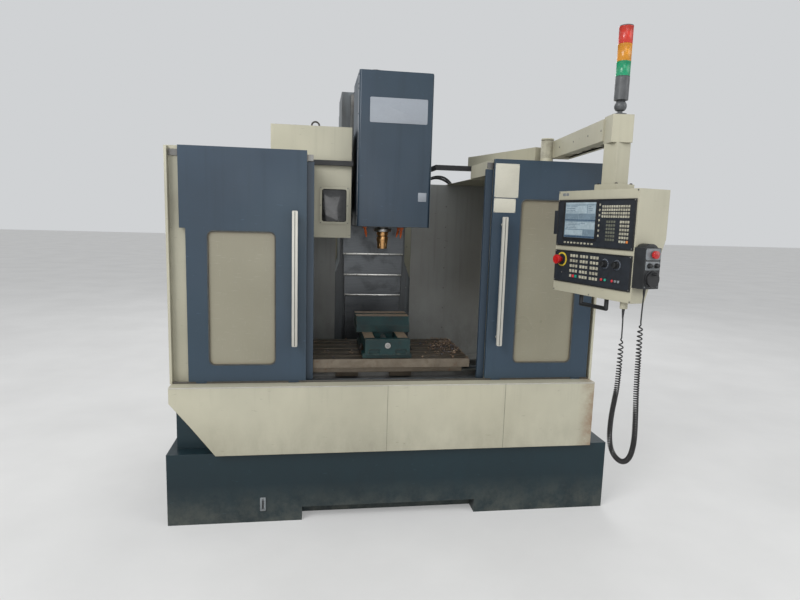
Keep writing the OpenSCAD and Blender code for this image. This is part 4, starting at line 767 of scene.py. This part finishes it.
def make_door_trim():
    """A seal round each pane, inside the rim that the door holds it by, and a dark strip down each handle,
    painted shade for its groove.
    """
    rim = 19.2
    for side in ("left", "right"):
        x0, x1, pane, _, z0, z1 = edges(side + "_window")
        face = edges(side + "_door")[2]
        s = Shape("door_" + side)
        s.ring(x0 + rim, x1 - rim, z0 + rim, z1 - rim, 29.8, 5.5, pane - 0.2, face - 1.2, 8)
        s.piece(side + "_window_seal", "black_plastic", SEAL, bevel=1.2)
        x0, x1, front, _, z0, z1 = edges(side + "_handle")
        x = (x0 + x1) / 2
        # painted shade: a dark strip down the handle where its groove is
        s = Shape("door_" + side)
        s.slab(x - 1.6, x + 1.6, z0 + 3, z1 - 3, 1, front + 0.2, front - 0.3, 2)
        s.piece(side + "_handle_groove_shade", "black_plastic", SEAL)


def make_door_plates():
    """Two bare plates with rivets, in the upper left corner of the right door."""
    left, _, face, _, _, top = edges("right_door")
    plates, rivets = Shape("door_right"), Shape("door_right")
    for width, height, drop, out in ((125, 168, 22, 1.3), (114, 70, 195, 1.2)):
        x0, z1 = left + 3, top - drop
        x1, z0 = x0 + width, z1 - height
        plates.slab(x0, x1, z0, z1, 3, face - 0.1, face - out, 3, 0.4)
        for place in grid((x0 + 4, x1 - 4), face - 1.2, (z0 + 4, z1 - 4)):
            rivets.lathe(place, FRONT, [(2, -0.4), (2, 0.5), (1.4, 1.1)], 14)
    plates.piece("right_door_plates", "cream_paint", BARE_PLATE)
    rivets.piece("right_door_plate_rivets", "steel", FASTENER)


make_door_trim()
make_door_plates()


def make_head():
    x0, x1, front, rear, z0, z1 = edges("head_cover")
    s = Shape("head")
    s.slab(x0 + 60, x1 - 31, z1 - 273, z1 - 140, 7, front - 0.1, front - 1.6, 4, 0.5)
    s.slab(x1 - 70, x1 - 23, z0 + 144, z0 + 193, 3, front - 0.1, front - 1.0, 3, 0.3)
    s.piece("head_plates", "slate_paint", LIGHT_PLATE)
    s = Shape("head")
    for y, rises in ((front + 25, (56, 236, 423, 608, 741, 764, 816)), (rear - 25, (56, 296, 546, 796))):
        for x, out in ((x0, LEFT), (x1, RIGHT)):
            s.screws(x, y, tuple(z0 + rise for rise in rises), out, 5, 2.6)
    s.piece("head_cover_screws", "steel", BLACK_BOLT)
    # painted light: thin light plates down both sides of the head stand for sunlight on its sides
    s = Shape("head")
    for sides in ((x0 - 0.8, x0), (x1, x1 + 0.8)):
        s.box(sides, (front + 8, front + 42), (z0 + 6, z1 - 6))
    s.piece("head_side_lit_strips", "slate_paint", LIGHT_PLATE, bevel=0.3)


def make_magazine_glass():
    _, x1, front, _, z0, _ = edges("magazine_cover")
    # the window's middle
    x, z = x1 - 95, z0 + 181
    s = Shape()
    s.slab(x - 68.7, x + 68.7, z - 90.7, z + 90.7, 11.7, front + 9.8, front + 7, 5, 0.5)
    s.piece("magazine_glass", "pane", DARK_GLASS)
    s = Shape()
    s.screws((x - 75.5, x + 75.5), front, (z - 97, z, z + 97), FRONT, 3, 1.6)
    s.piece("magazine_frame_screws", "steel", FASTENER)


def make_hoses():
    """Two hoses that come over the rear splash edge, right of the head; x and y say where each tops it."""
    s = Shape()
    for x, y, rise, r in ((372, 205, 0, 8), (392, 240, 14, 7)):
        path = [(-30, 80, 1640), (-34, 55, 1740), (-6, 25, 1806 + rise), (52, 0, 1834 + rise),
                (112, -22, 1822 + rise), (158, -50, 1780), (172, -60, 1700), (174, -62, 1600)]
        points = [Vector((x + dx, y + dy, z)) for dx, dy, z in path]
        s.tube([catmull(points, u / 8) for u in range(8 * (len(path) - 1) + 1)], r)
    s.piece("lubrication_hoses", "black_plastic", RUBBER)


def make_lips():
    """A lip with six screws on the lower edge of each column cover; its steel is made bright, a painted
    highlight.
    """
    for name, node, body in (("head_way_lip", "head_way_cover", "head"),
                             ("z_cover_lip_2", "z_cover_2", "column_cover_2"),
                             ("z_cover_lip_3", "z_cover_3", "column_cover_3")):
        x0, x1, front, _, z0, _ = edges(node)
        s = Shape(body)
        s.slab(x0 + 1, x1 - 1, z0 + 0.8, z0 + 12.3, 1.5, front - 0.05, front - 2.4, 3, 0.8)
        s.piece(name, "steel", BRIGHT_HIGHLIGHT)
        s = Shape(body)
        xs = tuple(x0 + 18 + i * (x1 - x0 - 36) / 5 for i in range(6))
        s.screws(xs, front - 2.3, z0 + 6.6, FRONT, 3, 1.6)
        s.piece(name + "_screws", "steel", FASTENER)


make_head()
make_magazine_glass()
make_hoses()
make_lips()


def make_trough():
    """Two seams in the trough's face and a lighter strip along its upper edge, a painted highlight."""
    x0, x1, front, _, z0, z1 = edges("front_trough")
    seams = (-24, 593)
    s = Shape()
    for x in seams:
        s.box((x - 0.8, x + 0.8), (front - 0.5, front + 0.1), (z0 + 2, z1 - 4))
    s.piece("trough_seams", "cream_paint", KEY_MID)
    # painted highlight: a thin strip, lighter than the trough, along its upper edge
    s = Shape()
    for sides in zip((x0 + 1, *(x + 1.4 for x in seams)), (*(x - 1.4 for x in seams), x1 - 1)):
        s.box(sides, (front - 0.9, front), (z1 - 6.5, z1 - 0.3))
    s.piece("trough_edge_highlight", "cream_paint", HANDLE, bevel=0.4)


def make_level_gauge():
    # the gauge's middle
    x, z = -645.5, 96
    face = edges("coolant_tank")[2]
    s = Shape()
    s.slab(x - 14.5, x + 14.5, z - 36, z + 36, 5, face - 0.1, face - 6, 4, 1.5)
    s.piece("level_gauge_body", "black_plastic", GREY_LIGHT)
    s = Shape()
    s.slab(x - 4.5, x + 4.5, z - 24, z + 24, 4.4, face - 5.9, face - 7.6, 5, 0.8)
    s.piece("level_gauge_glass", "pane", DARK_GLASS)
    s = Shape()
    s.screws(x, face - 6, (z - 30, z + 30), FRONT, 3.4, 2)
    s.piece("level_gauge_screws", "steel", FASTENER)


def make_guard_screws():
    panel, skirt = edges("side_panels")[1], edges("side_skirts")[1]
    heights = (760, 1000, 1240, 1480)
    s = Shape()
    for side, out in ((-1, LEFT), (1, RIGHT)):
        s.screws(side * panel, (-880, -520), (*heights, 1830), out)
        s.screws(side * panel, (-150, 230), (*heights, 1740), out)
        s.screws(side * skirt, (-870, -480, -90, 222), (420, 680), out, 5, 2.6)
    s.piece("guard_side_screws", "steel", FASTENER)
    # the rear splash panels stand 4 mm in front of the column covers
    splash = edges("head_way_cover")[2] - 4
    s = Shape()
    s.screws((230, 495), splash, range(660, 1780, 140), FRONT, 4, 2.2)
    s.piece("splash_screws", "steel", FASTENER)
    # the roof is higher in front, and its rear sheets are 4 mm thick
    rear_roof, front_roof = edges("roof_panels")[4:]
    s = Shape()
    s.screws((-1050, -900, -740, -580, 640, 780, 920, 1050), (-890, -540), front_roof, UP)
    s.screws((-1050, -800, -560, 640, 830, 1050), (-440, 220), rear_roof + 4, UP)
    s.piece("roof_screws", "steel", FASTENER)


def make_vise_parts():
    """Nuts that clamp the vise to the table, and the screws of its fixed jaw."""
    x0, x1, _, _, foot, top = edges("vise_body")
    x = (x0 + x1) / 2
    s = Shape("table")
    for dx in (-129.5, 129.5):
        s.hexnut((x + dx, -770, foot + 24), UP, 24, 14, 16)
        s.lathe((x + dx, -770, foot), UP, [(7.9, 4), (7.9, 25)], 20)
    s.piece("vise_clamp_nuts", "steel", BLACK_BOLT)
    s = Shape("table")
    for dx in (-95, -45, 45, 95):
        s.lathe((x + dx, -528, top - 22), FRONT, [(7, -0.2), (7, 0.35), (4.2, 0.35), (4, 0.05)], 24)
    s.piece("vise_fixed_jaw_screws", "steel", FASTENER)


make_trough()
make_level_gauge()
make_guard_screws()
make_vise_parts()

# swarf, drawn in one order from one seed
DRAW = random.Random(41)


def chip(s, x, y, z, size):
    """One curled ribbon that rests at x, y, z."""
    turns = DRAW.uniform(0.5, 2.2)
    n = int(6 + turns * 6)
    r, w = size * DRAW.uniform(0.25, 0.5), size * DRAW.uniform(0.12, 0.3)
    a, b, c = basis((DRAW.uniform(-1, 1), DRAW.uniform(-1, 1), DRAW.uniform(-0.2, 0.2)))
    o = Vector((x, y, z + r + 0.6))
    pts = []
    for i in range(n):
        t = turns * tau * i / n
        q = o + (b * cos(t) + c * sin(t)) * r + a * (i / n - 0.5) * size * turns * 0.5
        pts += [q - a * w / 2, q + a * w / 2]
    s.add(pts, [(2 * i, 2 * i + 1, 2 * i + 3, 2 * i + 2) for i in range(n - 1)])


def swarf_piece(s, name):
    """Ends a layer of swarf and gives its ribbons the thickness of a chip."""
    mod = s.piece(name, "steel", SWARF, SWARF_DARK).modifiers.new("thick", "SOLIDIFY")
    mod.thickness = 0.0003
    mod.offset = 0


def make_table_swarf():
    """Loose chips beside the vise, clear of the slots, and a heap on the table's right end."""
    x0, x1, y0, y1, _, top = edges("work_table")
    vise_left, vise_right = edges("vise_body")[:2]
    slot_pitch = 90
    s = Shape("table")
    for _ in range(150):
        x, y = DRAW.uniform(x0 + 15, x1 - 15), DRAW.uniform(y0 + 10, y1 - 10)
        past_slot = (y - (y0 + y1) / 2) % slot_pitch
        if vise_left - 10 < x < vise_right + 10 or min(past_slot, slot_pitch - past_slot) < 12:
            continue
        s.mat = DRAW.choice((0, 0, 1))
        chip(s, x, y, top, DRAW.uniform(4, 11))
    for _ in range(260):
        x, y = min(x1 - 10, DRAW.gauss(350, 55)), min(y1 - 10, max(y0 + 10, DRAW.gauss(-600, 120)))
        s.mat = DRAW.choice((0, 0, 0, 1))
        heap = 16 * exp(-((x - 360) / 50) ** 2 - ((y + 600) / 110) ** 2)
        chip(s, x, y, top + DRAW.uniform(0, heap), DRAW.uniform(6, 15))
    swarf_piece(s, "swarf_on_table")


def make_chute_swarf():
    """Chips on the chute floors, which rise from beside the bed to the outer walls."""
    _, outer, _, _, low, _ = edges("splash_guards")
    inner, rise, floor = 490, 106, low + 11.2
    s = Shape()
    for _ in range(420):
        x = min(1040, max(720, DRAW.gauss(850, 90)))
        y = min(0, max(-870, DRAW.gauss(-560, 190)))
        s.mat = DRAW.choice((0, 0, 0, 1))
        z = floor + (x - inner) * rise / (outer - inner)
        chip(s, x, y, z + DRAW.uniform(0, 9) * exp(-((x - 850) / 90) ** 2), DRAW.uniform(6, 18))
    swarf_piece(s, "swarf_right")
    s = Shape()
    for _ in range(90):
        x, y = DRAW.uniform(790, 1040), DRAW.uniform(-860, 0)
        s.mat = DRAW.choice((0, 1))
        chip(s, -x, y, floor + (x - inner) * rise / (outer - inner), DRAW.uniform(5, 13))
    swarf_piece(s, "swarf_left")


make_table_swarf()
make_chute_swarf()

# pendant: the screen panel above, the key panel below, both with their face at PANEL_Y
_, PANEL_X, PANEL_FRONT, _, PANEL_LOW, PANEL_TOP = edges("control_panels", PENDANT)
PANEL_Y = PANEL_FRONT + 6
PANELS = ((PANEL_TOP - 200, PANEL_TOP), (PANEL_LOW, PANEL_LOW + 140))


def make_screen():
    x0, x1, z0, z1 = -177, 15, 1492, 1645
    s = Shape("pendant")
    for low, high in PANELS:
        s.ring(-PANEL_X, PANEL_X, low, high, 4, 5, PANEL_Y + 0.3, PANEL_Y - 1.8)
    s.ring(x0 - 9, x1 + 9, z0 - 9, z1 + 8.5, 5, 10, PANEL_Y + 0.2, PANEL_Y - 3.2)
    s.piece("panel_bezels", "black_plastic", bevel=0.7)
    s = Shape("pendant")
    s.slab(x0, x1, z0, z1, 2, PANEL_Y + 0.2, PANEL_Y - 0.8)
    s.piece("screen_base", "panel_face", SCREEN)
    fields = [(-174, 12, 1634, 1643), (-172, -40, 1596, 1630), (-36, 10, 1596, 1630), (-172, 10, 1530, 1560),
              (-172, -60, 1504, 1526)]
    lines = [(-174, 12, 1566, 1570), (-174, 12, 1494, 1501)]
    rnd = random.Random(7)
    for k in range(4):
        for x, z, thick, shortest, longest in ((-168, 1624 - k * 7.5, 1.6, 50, 110),
                                               (-32, 1624 - k * 7.5, 1.6, 12, 36),
                                               (-168, 1554 - k * 6.5, 1.4, 60, 150)):
            lines.append((x, x + rnd.uniform(shortest, longest), z, z + thick))
    for name, mat, rows, out in (("screen_fields", SCREEN_LIGHT, fields, 0.9),
                                 ("screen_lines", SCREEN_DARK, lines, 1.05)):
        s = Shape("pendant")
        for row in rows:
            s.slab(*row, 0.5, PANEL_Y - 0.7, PANEL_Y - out, 2)
        s.piece(name, "panel_face", mat)


def make_keys():
    """Keys by middle, width and height: screen keys, letters, cursor keys, numbers and mode keys."""
    light, red, green = [], [], []
    light += [(-167 + i * 21, 1470, 12, 7.5) for i in range(9)]
    light += [(34, 1632 - i * 21, 7.5, 9) for i in range(7)]
    light += [(52 + i * 12.6, 1625 - j * 13.4, 9.4, 9.2) for i in range(12) for j in range(4)]
    cursor = [(80 + i * 13, 1564 - j * 14.4, 9.8, 9.4) for i in range(4) for j in range(6)]
    *numbers, corner = [(154 + i * 12.8, 1564 - j * 15.4, 9.6, 9.8) for i in range(4) for j in range(6)]
    light += numbers
    for group in range(3):
        for i in range(3):
            for j in range(5):
                kind = {(0, 1, 4): red, (0, 2, 4): green}.get((group, i, j), light)
                kind.append((-118 + group * 62 + i * 17.4, 1414 - j * 22, 12.6, 12))
    for name, mat, keys in (("light", KEY_LIGHT, light), ("middle", KEY_MID, cursor), ("red", KEY_RED, red),
                            ("green", KEY_GREEN, green), ("orange", KEY_ORANGE, [corner])):
        s = Shape("pendant")
        for x, z, w, h in keys:
            s.slab(x - w / 2, x + w / 2, z - h / 2, z + h / 2, 1.4, PANEL_Y + 0.2, PANEL_Y - 1.6, 3, 0.6)
        s.piece("keys_" + name, "panel_face", mat)


def make_switches():
    s = Shape("pendant")
    for x, cap in ((74, 0), (95, 1), (134, 0), (151, 2), (168, 2)):
        s.mat = 3
        s.lathe((x, PANEL_Y + 0.1, 1329), FRONT, [(7.6, 0), (7.6, 2), (6.6, 3)], 28)
        s.mat = cap
        s.lathe((x, PANEL_Y - 2.9, 1329), FRONT, [(5.6, 0), (5.6, 2.2), (4.6, 3.2), (2, 3.6)], 28)
    s.piece("push_buttons", "panel_face", KEY_RED, KEY_GREEN, GREY_LIGHT, MAT["black_plastic"])
    x, _, z = middle("emergency_stop", PENDANT)
    s = Shape("pendant")
    s.ring(x - 31, x + 31, z - 31, z + 31, 31, 6.6, PANEL_Y + 0.1, PANEL_Y - 1.8, 14)
    s.piece("stop_ring", "panel_face", YELLOW)
    scales, dots = Shape("pendant"), Shape("pendant")
    for knob in ("feed_knob", "spindle_knob"):
        x, _, z = middle(knob, PENDANT)
        scales.lathe((x, PANEL_Y + 0.1, z), FRONT, [(21, 0), (21, 0.9), (20.2, 1.3)], 40)
        for t in (radians(-135 + 27 * k) for k in range(11)):
            place = (x + 19 * sin(t), PANEL_Y - 1.2, z + 19 * cos(t))
            dots.lathe(place, FRONT, [(0.9, 0), (0.8, 0.35)], 10)
    scales.piece("knob_scales", "panel_face", KEY_DARK)
    dots.piece("knob_scale_dots", "panel_face", KEY_LIGHT)


def make_panel_screws():
    box_y = edges("pendant_box", PENDANT)[2]
    s = Shape("pendant")
    for low, high in PANELS:
        s.screws((6 - PANEL_X, PANEL_X - 6), PANEL_Y - 1.7, (low + 6, high - 6), FRONT, 3.2, 1.8)
    s.screws((-226, 226), box_y, (1256, 1687), FRONT, 3.4, 2)
    s.screws(0, box_y, 1256, FRONT, 3.4, 2)
    s.lathe((-176, PANEL_Y + 0.1, 1336), FRONT, [(3, 0), (3, 1), (2, 2)], 18)
    s.piece("panel_screws", "steel", FASTENER)
    s = Shape("pendant")
    for x0, x1 in ((-205, -186), (-182, -166)):
        s.slab(x0, x1, 1672, 1684, 1.5, box_y + 0.1, box_y - 0.8, 3, 0.2)
    s.piece("box_plates", "cream_paint", GREY_LIGHT)


def make_hand_unit():
    """Plates, selectors and marks of the hand unit, in a frame where its face looks along -Y."""
    x0, x1, face, _, z0, z1 = edges("hand_unit", HAND_UNIT)
    wheel_x, _, wheel_z = middle("hand_wheel", HAND_UNIT)
    s = Shape("pendant", HAND_UNIT)
    s.slab(x0 + 2, x1 - 2, 1424, 1468, 10, face + 0.1, face - 1.2, 5, 0.4)
    s.slab(x0 + 4, x1 - 4, 1386, 1419, 3, face + 0.1, face - 1.0, 3, 0.4)
    s.piece("hand_unit_plates", "grey_plastic", GREY_LIGHT)
    s = Shape("pendant", HAND_UNIT)
    knob = [(10, 0), (10, 2), (8.6, 2.6), (8.2, 12), (7.4, 13), (2, 13.4)]
    for x in (wheel_x - 18, wheel_x + 18):
        s.lathe((x, face - 1, 1403), FRONT, knob, 32, lambda k, i, t: 0.94 if k >= 3 and i % 4 == 0 else 1.0)
    s.lathe((wheel_x, face - 0.2, wheel_z), FRONT, [(35, -0.3), (35, 1.4), (34, 2), (31.2, 2)], 64)
    s.piece("hand_unit_selectors", "black_plastic")
    s = Shape("pendant", HAND_UNIT)
    for k in range(50):
        t = tau * k / 50
        r0, r1 = (31.8, 34) if k % 5 else (31.4, 34.2)
        out, side = Vector((sin(t), 0, cos(t))), Vector((cos(t), 0, -sin(t))) * 0.35
        c = Vector((wheel_x, face - 2.25, wheel_z))
        mark = [c + out * r0 - side, c + out * r1 - side, c + out * r1 + side, c + out * r0 + side]
        s.skin([mark, [p + Vector((0, 0.4, 0)) for p in mark]])
    s.screws((x0 + 8, x1 - 8), face, (z0 + 8, z1 - 19), FRONT, 2.8, 1.6)
    s.piece("hand_unit_marks", "grey_plastic", GREY_LIGHT)


def make_other_fasteners():
    """Screws of the pendant's flange, the arm and the cabinet door, and the door's locks."""
    s = Shape("pendant")
    s.screws((-52, 52), (-40, 40), 1719, UP, 6, 5)
    s.piece("flange_screws", "steel", BLACK_BOLT)
    s = Shape("arm")
    half = edges("pendant_arm", ARM)[1]
    for x, out in ((-half, LEFT), (half, RIGHT)):
        s.screws(x, (60, 220, 420, 640), 1945, out, 4, 2.2)
    s.piece("arm_screws", "steel", FASTENER)
    s = Shape("door_cabinet")
    # the outer face of the door's sheet
    door_face = 970
    s.screws(-380, door_face, (430, 900, 1500, 1970), BACK, 5, 2.6)
    for z in (620, 1200, 1780):
        s.lathe((340, door_face, z), BACK, [(15, -0.2), (15, 3), (13, 4.4), (9, 4.4), (8, 2.5)], 36)
    s.piece("cabinet_locks", "steel", FASTENER)


make_screen()
make_keys()
make_switches()
make_panel_screws()
make_hand_unit()
make_other_fasteners()


# floor, light and colour
def make_floor():
    m = Mat("stage_floor", Specular_IOR_Level=0.05)
    c = m.mix(m.span(m.noise(1.3, 5), 0.35, 0.65), (179, 179, 178), (187, 187, 186))
    m.bump(m.noise(40, 3), 0.05, 0.001)
    m.set(Emission_Color=(1, 1, 1, 1), Emission_Strength=m.times(m.seen(), 0.24))
    me = bpy.data.meshes.new("stage_floor")
    me.from_pydata([(-40, -40, 0), (40, -40, 0), (40, 40, 0), (-40, 40, 0)], [], [(0, 1, 2, 3)])
    me.materials.append(m.done(c, 0.95))
    new_object("stage_floor", me)


def make_world():
    """Pale surroundings, a little brighter where they are seen than where they only light the part."""
    world = bpy.data.worlds.new("studio")
    SCENE.world = world
    world.use_nodes = True
    w = Tree(world.node_tree)
    w.feed(w.t.nodes["Background"], Color=(0.9, 0.92, 0.94, 1), Strength=w.span(w.seen(), 0, 1, 0.56, 0.7))


def make_lights():
    for name, place, aim, size, power in (
            ("key", (-4.2, -4.6, 5.2), (0, -0.3, 1.1), 3.2, 270),
            ("fill", (5.0, -4.2, 3.4), (0, -0.4, 1.1), 4.0, 80),
            ("back", (1.5, 5.0, 5.0), (0, 0, 1.2), 4.0, 170),
            ("front", (-0.4, -6.0, 2.0), (0, -0.5, 1.1), 3.0, 50)):
        data = bpy.data.lights.new(name, "AREA")
        data.shape = "SQUARE"
        data.size = size
        data.energy = power
        o = new_object(name, data)
        o.location = place
        o.rotation_euler = (Vector(aim) - Vector(place)).to_track_quat("-Z", "Y").to_euler()


make_floor()
make_world()
make_lights()
SCENE.view_settings.view_transform = "Standard"
